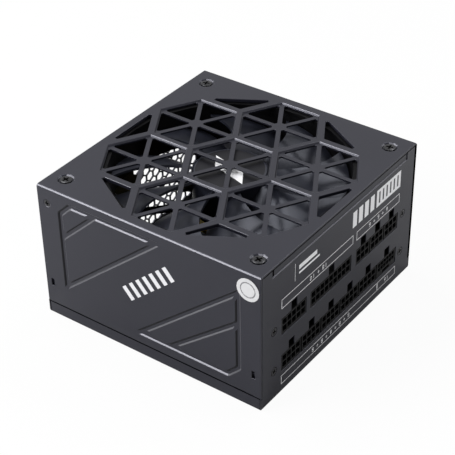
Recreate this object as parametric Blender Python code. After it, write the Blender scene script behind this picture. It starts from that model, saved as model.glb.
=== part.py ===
"""A fan-cooled power supply unit for a desktop computer, with sockets for loose cables.

The unit lies with its fan grille upwards. X runs along the width, Y from the panel with the
cable sockets (front) to the panel with the mains inlet (back), and Z up. The origin is the
middle of the underside. All sizes are in metres.
"""

import math
from collections import namedtuple

import bmesh
import bpy
from mathutils import Vector

# Case: a base folded from one sheet and a cover folded from another
WIDTH = 0.150
DEPTH = 0.145
HEIGHT = 0.086
SHEET = 0.001
BEND = 0.0015
SIDE_BEND = 0.0012
GAP = 0.0003
SEAM_HEIGHT = 0.0078
SEAM_GAP = 0.0008
CORNER_TAB = 0.0045
FLANGE_DEPTH = 0.011
OVERRUN = 0.002

# Strip at the top of the front panel that is set back under the cover's edge
STRIP_MARGIN = 0.010
STRIP_HEIGHT = 0.0048
STRIP_DEPTH = 0.0005

# Grille: seven pressed hexagons, each with six spokes
GRILLE_EDGE = 0.0022
HEX_RIB = 0.003
HEX_SLOPE = 0.0005
HEX_DEPTH = 0.001
HEX_LEDGE = 0.0002
SPOKE = 0.0026
GRILLE_CORNER = 0.0010
GRILLE_BORDER = 0.0010

# Pressed lines on the side walls: two triangles, one a half turn of the other
PRESS_END = 0.0148
PRESS_ABOVE = 0.0064
PRESS_BELOW = 0.0154
PRESS_CENTRE_Y = -0.0007
PRESS_RUN = 0.0650
PRESS_SHORT = 0.0086
PRESS_CHAMFER = 0.0070
PRESS_TOP = 0.0030
PRESS_FLOOR = 0.0016
PRESS_DEPTH = 0.0007
PRESS_FILLET = 0.0012
BRACE_HIGH = (0.0240, 0.0226)
BRACE_LOW = (0.0443, 0.0363)

# Screws of the cover, in the flanges of the end panels, and slots below them
COVER_SCREW_INSET = 0.0065
COVER_SCREW_DROP = 0.0100
COVER_SCREW_HEAD = 0.0042
COVER_SCREW_SHANK = 0.0026
COVER_SCREW_LENGTH = 0.0055
COUNTERSINK = 0.0009
SLOT_INSET = 0.0048
SLOT_Z = 0.0225
SLOT_WIDTH = 0.0020
SLOT_HEIGHT = 0.0046
SEAL_DIAMETER = 0.0135
SEAL_THICKNESS = 0.0002
SEAL_LIFT = 0.0001
SEAL_SHIFT = 0.0011

# Fan
FAN_CLEARANCE = 0.0015
FAN_THICKNESS = 0.025
FAN_HOLE_INSET = 0.0075
FAN_HOLE = 0.0044
FAN_RIM = 0.0035
FAN_WALL = 0.0020
FAN_LIP = 0.0040
FAN_CORNER = 0.0040
STRUT_WIDTH = 0.0045
STRUT_HEIGHT = 0.0030
STRUT_COUNT = 4
MOTOR_SEAT = 0.0440
HUB_DIAMETER = 0.0420
HUB_HEIGHT = 0.0170
HUB_WALL = 0.0015
HUB_DROP = 0.0015
HUB_EDGE = 0.0012
BLADE_COUNT = 9
BLADE_SPAN = math.radians(36)
BLADE_SWEEP = math.radians(16)
BLADE_TURN = math.radians(12)
BLADE_THICKNESS = 0.0014
BLADE_THINNING = 0.3
BLADE_STATIONS = 3
BLADE_CHORD_STEPS = 4
BLADE_RISE_ROOT = 0.0145
BLADE_RISE_TIP = 0.0105
BLADE_CAMBER = 0.0016
TIP_CLEARANCE = 0.0014
SHAFT_DIAMETER = 0.0030
SHAFT_BOSS = 0.0060
SHAFT_SOCKET = 0.0022
BUSH_WALL = 0.0008
TUBE_WALL = 0.0013
STATOR_DIAMETER = 0.0340
STATOR_HEIGHT = 0.0090
STATOR_SLOTS = 4
STATOR_SLOT_WIDTH = 0.0030
STATOR_SLOT_DEPTH = 0.0068
RUNNING_GAP = 0.0012

# Fan screws in the dimples of the cover
DIMPLE_MOUTH = 0.0096
DIMPLE_FLOOR = 0.0076
DIMPLE_DEPTH = 0.0011
FAN_SCREW_HEAD = 0.0066
FAN_SCREW_SHANK = 0.0036
FAN_SCREW_LENGTH = 0.0120

# Honeycomb of the back panel and its four threaded mounting holes
HONEY_PITCH = 0.0060
HONEY_HOLE = 0.0051
HONEY_LEFT = 0.0055
HONEY_MARGIN = 0.0100
MOUNT_HOLE = 0.0032
MOUNT_EDGE = 0.0060
MOUNT_DROP = 0.0160
MOUNT_OFFSET_X = 0.0300
MOUNT_BORDER = 0.0030

# Mains inlet, a three-pole appliance inlet held in the back panel by its flange
INLET_INSET = 0.0250
INLET_Z = 0.0360
INLET_FLANGE = (0.0305, 0.0235)
INLET_FLANGE_LIP = 0.0020
INLET_BODY = (0.0268, 0.0198)
INLET_LENGTH = 0.0230
INLET_MOUTH = (0.0242, 0.0164)
INLET_CHAMFER = 0.0048
INLET_RECESS = 0.0170
INLET_CORNER = 0.0015
PIN_SIZE = (0.0020, 0.0040)
PIN_SPREAD = 0.0070
PIN_OFFSET = 0.0020
PIN_SET_BACK = 0.0030
SINK_BORDER = 0.0010
SINK_DEPTH = 0.0003
PIN_TAIL = 0.0060

# Rocker switch
SWITCH_SPACING = 0.0300
SWITCH_BEZEL = (0.0150, 0.0210)
SWITCH_BEZEL_LIP = 0.0016
SWITCH_BODY = (0.0130, 0.0190)
SWITCH_LENGTH = 0.0140
SWITCH_WALL = 0.0016
ROCKER_TILT = math.radians(10)
ROCKER_RADIUS = 0.0074
ROCKER_REACH = 0.0046
ROCKER_DISH = 0.0034
ROCKER_KEEL = 0.0040
ROCKER_PIVOT_DEPTH = 0.0030
TRUNNION = 0.0024
TRUNNION_LENGTH = 0.0008

# Cable sockets of the front panel, in two rows, each set in a shared cut-out
SOCKET_LEFT = 0.0186
SOCKET_RIGHT = 0.0172
SOCKET_NEXT = 0.0009
HIGH_ROW = ((5,), (9,), (3, 3, 3))
HIGH_BREAKS = (0, 0.0044, 0.0054)
LOW_ROW = ((4, 4, 4, 4, 4, 6),)
LOW_BREAKS = (0,)
ROW_DROP = 0.0423
ROW_SPACING = 0.0240
CELL_WALL = 0.0008
CELL_DEPTH = 0.0085
HOUSING_MARGIN = 0.0006
HOUSING_EDGE = 0.0009
HOUSING_DEPTH = 0.0120
HOUSING_SET_BACK = 0.0002
FINE_COLUMNS = 6
FINE_WALL = 0.0006
FINE_MARGIN = 0.0010
FINE_RAISE = 0.0012
SENSE_PINS = 4
SENSE_SLOT = (0.0072, 0.0018)
SENSE_EDGE = 0.0014
NOTCH_WIDTH = 0.0052
NOTCH_HEIGHT = 0.0054
RAMP_WIDTH = 0.0034
RAMP_HEIGHT = 0.0009
RAMP_START = 0.0026
RAMP_LENGTH = 0.0040

# Board behind the sockets, held off the panel by four spacers
BOARD = 0.0016
MODULAR_SIDE = 0.0070
MODULAR_BELOW = 0.0090
MODULAR_ROOM = 0.0029
PANEL_SCREW_INSET = 0.0116
PANEL_SCREW_BELOW = 0.0008
PANEL_SCREW_ABOVE = 0.0015
PANEL_SCREW_HEAD = 0.0050
PANEL_SCREW_SHANK = 0.0028
PANEL_SCREW_LENGTH = 0.0080
SPACER_DIAMETER = 0.0060

# Main board on four bosses pressed up from the base, over an insulating sheet
BOSS_HEIGHT = 0.0060
BOSS_TOP = 0.0050
BOSS_FOOT = 0.0080
BOSS_INSET = 0.0060
MAIN_SIDE = 0.0070
MAIN_FRONT = 0.0040
MAIN_BACK = 0.0060
FILM = 0.0004

# Parts on the main board: AT is from the middle of the case, and the others from its sides
BULK_SIDE = 0.0240
BULK_AT_Y = -0.0040
BULK_DIAMETER = 0.0300
BULK_HEIGHT = 0.0380
BULK_BEAD = 0.0006
CHOKE_SIDE = 0.0250
CHOKE_BACK = 0.0410
CHOKE_OUTER = 0.0220
CHOKE_INNER = 0.0090
CHOKE_WIDTH = 0.0110
FILTER_AT_X = -0.0220
FILTER_BACK = 0.0299
FILTER_SIZE = (0.0260, 0.0100, 0.0200)
SINK_HEIGHT = 0.0340
SINK_SPINE = 0.0030
SINK_FIN = 0.0080
SINK_FIN_THICKNESS = 0.0014
SINK_FIN_COUNT = 5
PRIMARY_SINK_AT_X = -0.0240
PRIMARY_SINK_AT_Y = (-0.040, 0.026)
SECONDARY_SINK_SIDE = 0.0300
SECONDARY_SINK_FRONT = 0.0365
SECONDARY_SINK_AT_Y = 0.0060
BRIDGE_SIZE = (0.0036, 0.0250, 0.0200)
BRIDGE_AT_Y = 0.0080
BRIDGE_LEAD = 0.0030
CORE_AT = (0.012, -0.012)
CORE_SIZE = (0.0360, 0.0120, 0.0320)
CORE_LEG = 0.0100
CORE_YOKE = 0.0060
CORE_LIMB = 0.0060
COIL_WALL = 0.0060
BLOCK_EDGE = 0.0012
PFC_SIDE = 0.0175
PFC_BACK = 0.0465
PFC_PLAN = (0.0210, 0.0240)
PFC_ROOM = 0.0054
STANDBY_AT_X = 0.0140
STANDBY_BACK = 0.0385
STANDBY_SIZE = (0.0200, 0.0180, 0.0170)
CONTROL_AT_X = 0.0330
CONTROL_AT_Y = (0.006, 0.036)
CONTROL_HEIGHT = 0.0220
OUTPUT_DIAMETER = 0.0100
OUTPUT_HEIGHT = 0.0200
OUTPUT_FRONT = 0.0255
OUTPUT_AT_X = 0.0060
OUTPUT_PITCH = 0.0130
OUTPUT_COUNT = 4

# Facets of round and folded shapes
BEND_STEPS = 3
ROUND_SIDES = 10
HEX_SIDES = 6
CHOKE_SIDES = 12
FAN_SIDES = 32
SMOOTH_ANGLE = math.radians(35)

# Places that follow from the sizes above
HALF_W = WIDTH / 2
HALF_D = DEPTH / 2
FRONT = -HALF_D
BACK = HALF_D
WALL_INSIDE = HALF_W - SHEET
PANEL_HALF = WALL_INSIDE - GAP
PANEL_TOP = HEIGHT - SHEET - GAP
COVER_BOTTOM = SEAM_HEIGHT + SEAM_GAP
COVER_SCREW_Y = HALF_D - COVER_SCREW_INSET
COVER_SCREW_Z = HEIGHT - COVER_SCREW_DROP
PRESS_REACH = HALF_D - PRESS_END
PRESS_RISE = (HEIGHT - PRESS_ABOVE - PRESS_BELOW) / 2
PRESS_FALL = 2 * PRESS_RISE - PRESS_SHORT
PRESS_CENTRE_Z = PRESS_BELOW + PRESS_RISE
FAN_SIZE = min(WIDTH, DEPTH) - 2 * (SHEET + FAN_CLEARANCE)
FAN_TOP = HEIGHT - DIMPLE_DEPTH - SHEET - GAP
FAN_BOTTOM = FAN_TOP - FAN_THICKNESS
FAN_HOLE_AT = FAN_SIZE / 2 - FAN_HOLE_INSET
BORE_RADIUS = FAN_SIZE / 2 - FAN_RIM
HEX_RADIUS = (FAN_SIZE / 2 - GRILLE_EDGE) / 2.5
HEX_PITCH = HEX_RADIUS * math.sqrt(3)
HUB_TOP = FAN_TOP - HUB_DROP
HUB_RADIUS = HUB_DIAMETER / 2
SEAT_TOP = FAN_BOTTOM + STRUT_HEIGHT
CAP_UNDER = HUB_TOP - HUB_WALL
BUSH_BORE = SHAFT_DIAMETER / 2 + GAP
BUSH_RADIUS = BUSH_BORE + BUSH_WALL
TUBE_BORE = BUSH_RADIUS + GAP
TUBE_RADIUS = TUBE_BORE + TUBE_WALL
TUBE_TOP = CAP_UNDER - SHAFT_SOCKET - RUNNING_GAP
HIGH_COUNTS = [columns for group in HIGH_ROW for columns in group]
HIGH_SPACES = sum(HIGH_BREAKS) + (len(HIGH_COUNTS) - len(HIGH_ROW)) * SOCKET_NEXT
HIGH_MARGINS = 2 * HOUSING_MARGIN * len(HIGH_COUNTS)
CELL_RUN = WIDTH - SOCKET_LEFT - SOCKET_RIGHT - HIGH_SPACES - HIGH_MARGINS
CELL_PITCH = CELL_RUN / sum(HIGH_COUNTS)
CELL_SIZE = CELL_PITCH - CELL_WALL
FINE_PITCH = CELL_PITCH * 5 / 7
FINE_CELL = FINE_PITCH - FINE_WALL
HOUSING_HEIGHT = 2 * (CELL_PITCH + HOUSING_EDGE)
SENSE_DROP = HOUSING_HEIGHT / 2 - SENSE_EDGE
ROW_HIGH_Z = HEIGHT - ROW_DROP
ROW_LOW_Z = ROW_HIGH_Z - ROW_SPACING
HOUSING_FRONT = FRONT + HOUSING_SET_BACK
HOUSING_BACK = HOUSING_FRONT + HOUSING_DEPTH
MODULAR_FRONT = HOUSING_BACK + GAP
MODULAR_BACK = MODULAR_FRONT + BOARD
PANEL_SCREW_X = HALF_W - PANEL_SCREW_INSET
BOARD_UNDER = SHEET + BOSS_HEIGHT + GAP
BOARD_TOP = BOARD_UNDER + BOARD
SEAT_Z = BOARD_TOP + GAP
MODULAR_HALF = HALF_W - MODULAR_SIDE
MAIN_HALF = HALF_W - MAIN_SIDE
MAIN_LOW_Y = MODULAR_BACK + MAIN_FRONT
MAIN_HIGH_Y = BACK - MAIN_BACK
INLET_X = INLET_INSET - HALF_W
SWITCH_X = INLET_X + SWITCH_SPACING
ROCKER_PIVOT_Y = BACK + GAP + SWITCH_BEZEL_LIP - ROCKER_PIVOT_DEPTH

AXES = {
    "X": lambda u, v, w: (w, u, v),
    "Y": lambda u, v, w: (u, w, v),
    "Z": lambda u, v, w: (u, v, w),
}

Socket = namedtuple("Socket", "name columns pitch cell left width middle_z")


def clear_scene():
    for obj in list(bpy.data.objects):
        bpy.data.objects.remove(obj)


def finish(name, colour, roughness, metallic=0.0):
    """One Principled material; the colour is linear."""
    made = bpy.data.materials.new(name)
    made.use_nodes = True
    shader = made.node_tree.nodes["Principled BSDF"]
    shader.inputs["Base Color"].default_value = (*colour, 1.0)
    shader.inputs["Roughness"].default_value = roughness
    shader.inputs["Metallic"].default_value = metallic
    made.diffuse_color = (*colour, 1.0)
    return made


def make(name, bm, material=None, location=(0, 0, 0), rotation=(0, 0, 0)):
    """Turn finished geometry into a named object with its faces pointing out."""
    bmesh.ops.recalc_face_normals(bm, faces=bm.faces)
    mesh = bpy.data.meshes.new(name)
    bm.to_mesh(mesh)
    bm.free()
    mesh.shade_smooth()
    mesh.set_sharp_from_angle(angle=SMOOTH_ANGLE)
    if material:
        mesh.materials.append(material)
    obj = bpy.data.objects.new(name, mesh)
    obj.location = location
    obj.rotation_euler = rotation
    bpy.context.scene.collection.objects.link(obj)
    return obj


def combine(target, tool_name, bm, operation):
    """Cut, join or trim a piece by a tool that stays in the file as a wire guide."""
    tool = make(tool_name, bm, None, target.location, target.rotation_euler)
    tool.hide_render = True
    tool.display_type = "WIRE"
    step = target.modifiers.new(tool_name, "BOOLEAN")
    step.operation = operation
    step.solver = "EXACT"
    step.object = tool


def loft(bm, sections, ring=False):
    """Skin a row of closed loops that have equally many points, and cap or join the ends."""
    loops = [[bm.verts.new(point) for point in section] for section in sections]
    following = loops[1:] + loops[:1] if ring else loops[1:]
    for lower, upper in zip(loops, following):
        for i in range(len(lower)):
            j = (i + 1) % len(lower)
            bm.faces.new((lower[i], lower[j], upper[j], upper[i]))
    if not ring:
        bm.faces.new(loops[0])
        bm.faces.new(loops[-1])


def taper(bm, axis, sections):
    """Loft flat outlines, given as (place along the axis, outline)."""
    put = AXES[axis]
    loft(bm, [[put(u, v, w) for u, v in outline] for w, outline in sections])


def prism(bm, axis, low, high, outline):
    taper(bm, axis, ((low, outline), (high, outline)))


def box(bm, low, high):
    prism(bm, "Z", low[2], high[2], rectangle(low[0], low[1], high[0], high[1]))


def turn(bm, profile, sides, axis="Z", middle=(0, 0), ring=False):
    """Turn a row of (radius, height) points about an axis.

    The ends are closed by flat caps, or joined to each other if the piece is a ring.
    """
    put = AXES[axis]
    sections = []
    for radius, height in profile:
        circle = [polar(radius, math.tau * i / sides) for i in range(sides)]
        sections.append([put(middle[0] + u, middle[1] + v, height) for u, v in circle])
    loft(bm, sections, ring)


def rod(bm, axis, radius, low, high, middle=(0, 0), sides=ROUND_SIDES):
    turn(bm, ((radius, low), (radius, high)), sides, axis, middle)


def rectangle(left, bottom, right, top):
    return [(left, bottom), (right, bottom), (right, top), (left, top)]


def centred(size, middle=(0, 0)):
    u, v = middle
    return rectangle(u - size[0] / 2, v - size[1] / 2, u + size[0] / 2, v + size[1] / 2)


def rounded(corners, radii, steps=BEND_STEPS):
    """Fillet the corners of an outline; radii is one value or one per corner."""
    if not isinstance(radii, (list, tuple)):
        radii = [radii] * len(corners)
    points = []
    for i, (corner, radius) in enumerate(zip(corners, radii)):
        corner = Vector(corner)
        if radius <= 0:
            points.append(tuple(corner))
            continue
        before = (Vector(corners[i - 1]) - corner).normalized()
        after = (Vector(corners[(i + 1) % len(corners)]) - corner).normalized()
        half = before.angle(after) / 2
        middle = corner + (before + after).normalized() * radius / math.sin(half)
        first = corner + before * radius / math.tan(half) - middle
        last = corner + after * radius / math.tan(half) - middle
        start = math.atan2(first.y, first.x)
        sweep = math.atan2(last.y, last.x) - start
        sweep = (sweep + math.pi) % math.tau - math.pi
        for k in range(steps + 1):
            angle = start + sweep * k / steps
            points.append((middle.x + radius * math.cos(angle), middle.y + radius * math.sin(angle)))
    return points


def offset(outline, distance):
    """Move every edge of an anticlockwise outline outwards by a distance."""
    moved = []
    for i, corner in enumerate(outline):
        before = Vector(corner) - Vector(outline[i - 1])
        after = Vector(outline[(i + 1) % len(outline)]) - Vector(corner)
        normal_1 = Vector((before.y, -before.x)).normalized()
        normal_2 = Vector((after.y, -after.x)).normalized()
        reach = distance / (1 + normal_1.dot(normal_2))
        moved.append(tuple(Vector(corner) + (normal_1 + normal_2) * reach))
    return moved


def channel(half_span, depth):
    """A folded U section of sheet, open upwards, with its floor at zero."""
    inner = half_span - SHEET
    corners = [(-half_span, depth), (-half_span, 0), (half_span, 0), (half_span, depth)]
    corners += [(inner, depth), (inner, SHEET), (-inner, SHEET), (-inner, depth)]
    inside = max(BEND - SHEET, 0)
    return rounded(corners, [0, BEND, BEND, 0, 0, inside, inside, 0])


def hexagon(middle, across_flats):
    """A hexagon with a corner at the top, anticlockwise."""
    radius = across_flats / math.sqrt(3)
    turns = [math.pi / 6 + math.pi / 3 * k for k in range(6)]
    return [(middle[0] + radius * math.cos(a), middle[1] + radius * math.sin(a)) for a in turns]


def polar(radius, angle):
    return (radius * math.cos(angle), radius * math.sin(angle))


def swung(outline, angle):
    """Turn an outline about the centre."""
    return [polar(math.hypot(u, v), math.atan2(v, u) + angle) for u, v in outline]


def corners_of(reach_x, reach_y):
    """Four places, one in each quarter."""
    return [(sx * reach_x, sy * reach_y) for sy in (-1, 1) for sx in (-1, 1)]


def socket_rows():
    """Lay out both rows from the left, as lists of cut-outs that hold lists of sockets."""
    rows = []
    layout = ((ROW_HIGH_Z, HIGH_BREAKS, HIGH_ROW), (ROW_LOW_Z, LOW_BREAKS, LOW_ROW))
    for middle_z, breaks, groups in layout:
        left = SOCKET_LEFT - HALF_W
        for space, members in zip(breaks, groups):
            left += space
            group = []
            for number, columns in enumerate(members, 1):
                fine = columns == FINE_COLUMNS
                pitch, cell = (FINE_PITCH, FINE_CELL) if fine else (CELL_PITCH, CELL_SIZE)
                margin = FINE_MARGIN if fine else HOUSING_MARGIN
                width = columns * pitch + 2 * margin
                name = f"socket_{2 * columns + (SENSE_PINS if fine else 0)}pin"
                if members.count(columns) > 1:
                    name += f"_{number}"
                group.append(Socket(name, columns, pitch, cell, left, width, middle_z))
                left += width + SOCKET_NEXT
            left -= SOCKET_NEXT
            rows.append(group)
    return rows


def notch_span(socket):
    middle = socket.left + socket.width / 2
    return middle - NOTCH_WIDTH / 2, middle + NOTCH_WIDTH / 2


def cut_out(group):
    """The opening round a run of sockets, with a notch above each for the plug's latch."""
    left = group[0].left - GAP
    right = group[-1].left + group[-1].width + GAP
    bottom = group[0].middle_z - HOUSING_HEIGHT / 2 - GAP
    top = group[0].middle_z + HOUSING_HEIGHT / 2 + GAP
    outline = [(left, bottom), (right, bottom), (right, top)]
    for socket in reversed(group):
        low, high = notch_span(socket)
        outline += [(high, top), (high, top + NOTCH_HEIGHT), (low, top + NOTCH_HEIGHT), (low, top)]
    return outline + [(left, top)]


def mount_holes():
    """Four screw holes of the back panel, in the uneven pattern that such units share."""
    side = HALF_W - MOUNT_EDGE
    return [
        (-side, MOUNT_EDGE),
        (side, MOUNT_EDGE),
        (side, HEIGHT - MOUNT_DROP),
        (MOUNT_OFFSET_X - HALF_W, HEIGHT - MOUNT_EDGE),
    ]


def honeycomb():
    """Middles of the vent's holes, staggered row by row and clear of the screw holes."""
    keep_off = (HONEY_HOLE + MOUNT_HOLE) / 2 + MOUNT_BORDER
    row_step = HONEY_PITCH * math.sqrt(3) / 2
    row_count = int((PANEL_TOP - 2 * HONEY_MARGIN) / row_step) + 1
    column_count = int((PANEL_HALF - HONEY_MARGIN - HONEY_LEFT) / HONEY_PITCH) + 1
    middles = []
    for row in range(row_count):
        for column in range(column_count):
            x = HONEY_LEFT + (column + row % 2 / 2) * HONEY_PITCH
            z = HONEY_MARGIN + row * row_step
            if all(math.dist((x, z), hole) > keep_off for hole in mount_holes()):
                middles.append((x, z))
    return middles


def base_shell(material):
    """Floor and both end panels in one folded sheet, with side lips and folded flanges."""
    bm = bmesh.new()
    prism(bm, "X", -HALF_W - OVERRUN, HALF_W + OVERRUN, channel(HALF_D, PANEL_TOP))
    base = make("base_shell", bm, material)

    bm = bmesh.new()
    for side in (-1, 1):
        edges = sorted((side * PANEL_HALF, side * (HALF_W + 2 * OVERRUN)))
        box(bm, (edges[0], FRONT - OVERRUN, SEAM_HEIGHT), (edges[1], BACK + OVERRUN, HEIGHT))
    combine(base, "base_side_clearance", bm, "DIFFERENCE")

    bm = bmesh.new()
    lip_end = HALF_D - SHEET - GAP
    flange_low, flange_high = COVER_BOTTOM + SHEET, PANEL_TOP - SHEET
    for side in (-1, 1):
        edges = sorted((side * WALL_INSIDE, side * (HALF_W + OVERRUN)))
        box(bm, (edges[0], -lip_end, SHEET / 2), (edges[1], lip_end, SEAM_HEIGHT))
        edges = sorted((side * (PANEL_HALF - SHEET), side * PANEL_HALF))
        for end in (-1, 1):
            run = sorted((end * (HALF_D - SHEET / 2), end * (HALF_D - FLANGE_DEPTH)))
            box(bm, (edges[0], run[0], flange_low), (edges[1], run[1], flange_high))
    strip = HALF_W - STRIP_MARGIN
    strip_low = PANEL_TOP - STRIP_HEIGHT
    box(
        bm,
        (-strip - SHEET, FRONT + SHEET / 2, strip_low - SHEET),
        (strip + SHEET, FRONT + 2 * SHEET, PANEL_TOP),
    )
    for x, y in boss_places():
        profile = (
            (BOSS_FOOT / 2, SHEET / 2),
            (BOSS_TOP / 2, SHEET + BOSS_HEIGHT),
        )
        turn(bm, profile, ROUND_SIDES, "Z", (x, y))
    combine(base, "base_folds", bm, "UNION")

    bm = bmesh.new()
    corners = rectangle(-HALF_W, 0, HALF_W, HEIGHT)
    prism(bm, "Y", FRONT - OVERRUN, BACK + OVERRUN, rounded(corners, [SIDE_BEND, SIDE_BEND, 0, 0]))
    combine(base, "base_side_bends", bm, "INTERSECT")

    bm = bmesh.new()
    left = INLET_X - INLET_FLANGE[0] / 2 - SINK_BORDER
    right = SWITCH_X + SWITCH_BEZEL[0] / 2 + SINK_BORDER
    reach = INLET_FLANGE[1] / 2 + SINK_BORDER
    sink = rectangle(left, INLET_Z - reach, right, INLET_Z + reach)
    prism(bm, "Y", BACK - SINK_DEPTH, BACK + OVERRUN, rounded(sink, INLET_CORNER))
    combine(base, "base_inlet_sink", bm, "DIFFERENCE")

    bm = bmesh.new()
    box(bm, (-strip, FRONT - OVERRUN, strip_low), (strip, FRONT + STRIP_DEPTH, HEIGHT))
    for group in socket_rows():
        prism(bm, "Y", FRONT - OVERRUN, FRONT + OVERRUN, cut_out(group))
    for x, z in panel_screw_places():
        countersink(bm, "Y", FRONT, 1, PANEL_SCREW_HEAD, PANEL_SCREW_SHANK, (x, z))
    through = (BACK - 2 * OVERRUN, BACK + OVERRUN)
    prism(bm, "Y", *through, offset(centred(INLET_BODY, (INLET_X, INLET_Z)), GAP))
    prism(bm, "Y", *through, offset(centred(SWITCH_BODY, (SWITCH_X, INLET_Z)), GAP))
    for middle in mount_holes():
        rod(bm, "Y", MOUNT_HOLE / 2, *through, middle)
    for middle in honeycomb():
        prism(bm, "Y", *through, hexagon(middle, HONEY_HOLE))
    for side in (-1, 1):
        run = sorted((side * (PANEL_HALF - OVERRUN), side * (PANEL_HALF + OVERRUN)))
        for end in (-1, 1):
            middle = (end * COVER_SCREW_Y, COVER_SCREW_Z)
            rod(bm, "X", COVER_SCREW_SHANK / 2 + GAP, *run, middle)
    combine(base, "base_openings", bm, "DIFFERENCE")


def countersink(bm, axis, face, inwards, head, shank, middle):
    """A screw hole with a cone at the face of a sheet; inwards is the way into the sheet."""
    wide, narrow = head / 2 + GAP, shank / 2 + GAP
    profile = (
        (wide, face - inwards * OVERRUN),
        (wide, face),
        (narrow, face + inwards * COUNTERSINK),
        (narrow, face + inwards * OVERRUN),
    )
    turn(bm, profile, ROUND_SIDES, axis, middle)


def press_outlines(brace):
    """Centre lines of one pressed triangle: its outline, and the two fields inside it.

    The corner with the chamfer is at the top right, and the places are from the wall's centre.
    """
    right, top = PRESS_REACH, PRESS_RISE
    left, bottom = right - PRESS_RUN, top - PRESS_FALL
    tip, foot = (left, top), (right, bottom)
    upper, lower = (right - PRESS_CHAMFER, top), (right, top - PRESS_CHAMFER)
    brace_top, brace_side = (right - brace[0], top), (right, top - brace[1])
    whole = [foot, lower, upper, tip]
    corner = [brace_side, lower, upper, brace_top]
    strip = [foot, brace_side, brace_top, tip]
    return whole, (corner, strip)


def on_wall(outline, distance, way):
    """Widen a pressed outline, and put it on the wall as it is or turned half round."""
    moved = [(PRESS_CENTRE_Y + way * y, PRESS_CENTRE_Z + way * z) for y, z in offset(outline, distance)]
    return rounded(moved, PRESS_FILLET, 1)


def wall_presses(pockets, fields):
    """Tools for the lines pressed into both side walls."""
    half_top, half_floor = PRESS_TOP / 2, PRESS_FLOOR / 2
    for side in (-1, 1):
        face = side * HALF_W
        floor = face - side * PRESS_DEPTH
        outside = face + side * OVERRUN
        inside = floor - side * (SHEET - PRESS_DEPTH) / 2
        for way, brace in ((1, BRACE_HIGH), (-1, BRACE_LOW)):
            whole, parts = press_outlines(brace)
            wide = on_wall(whole, half_top, way)
            narrow = on_wall(whole, half_floor, way)
            taper(pockets, "X", ((floor, narrow), (face, wide), (outside, wide)))
            for part in parts:
                wide = on_wall(part, -half_floor, way)
                narrow = on_wall(part, -half_top, way)
                taper(fields, "X", ((inside, wide), (floor, wide), (face, narrow)))


def hexagon_places():
    ring = [polar(HEX_PITCH, math.pi / 3 * k) for k in range(6)]
    return [(0, 0)] + ring


def grille_openings(bm):
    """Six triangles in each hexagon, and one more between each two outer hexagons."""
    low, high = HEIGHT - SHEET - HEX_DEPTH - OVERRUN, HEIGHT + OVERRUN
    floor = (HEX_PITCH - HEX_RIB) / 2 - HEX_SLOPE - HEX_LEDGE
    for middle in hexagon_places():
        for k in range(6):
            side = floor * math.tan(math.pi / 6) - SPOKE / 2 / math.cos(math.pi / 6)
            corners = swung([(SPOKE, 0), (floor, -side), (floor, side)], math.pi / 3 * k)
            triangle = [(middle[0] + u, middle[1] + v) for u, v in corners]
            prism(bm, "Z", low, high, rounded(triangle, GRILLE_CORNER, 1))
    half_rib = HEX_RIB / 2 + HEX_SLOPE
    for k in range(6):
        tip = 2 * HEX_RADIUS + half_rib / math.cos(math.pi / 6) ** 2
        chord = 2.5 * HEX_RADIUS
        spread = (chord - tip) * math.tan(math.pi / 3)
        corners = [(tip, 0), (chord, -spread), (chord, spread)]
        triangle = swung(corners, math.pi / 6 + math.pi / 3 * k)
        prism(bm, "Z", low, high, rounded(triangle, GRILLE_CORNER, 1))


def grille_outline():
    """Hull of the seven hexagons, with a border."""
    corners = []
    reach = math.hypot(2.5 * HEX_RADIUS, HEX_PITCH / 2)
    spread = math.atan2(HEX_PITCH / 2, 2.5 * HEX_RADIUS)
    for k in range(6):
        angle = math.pi / 6 + math.pi / 3 * k
        corners += [polar(reach, angle - spread), polar(reach, angle + spread)]
    return offset(corners, GRILLE_BORDER)


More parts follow.
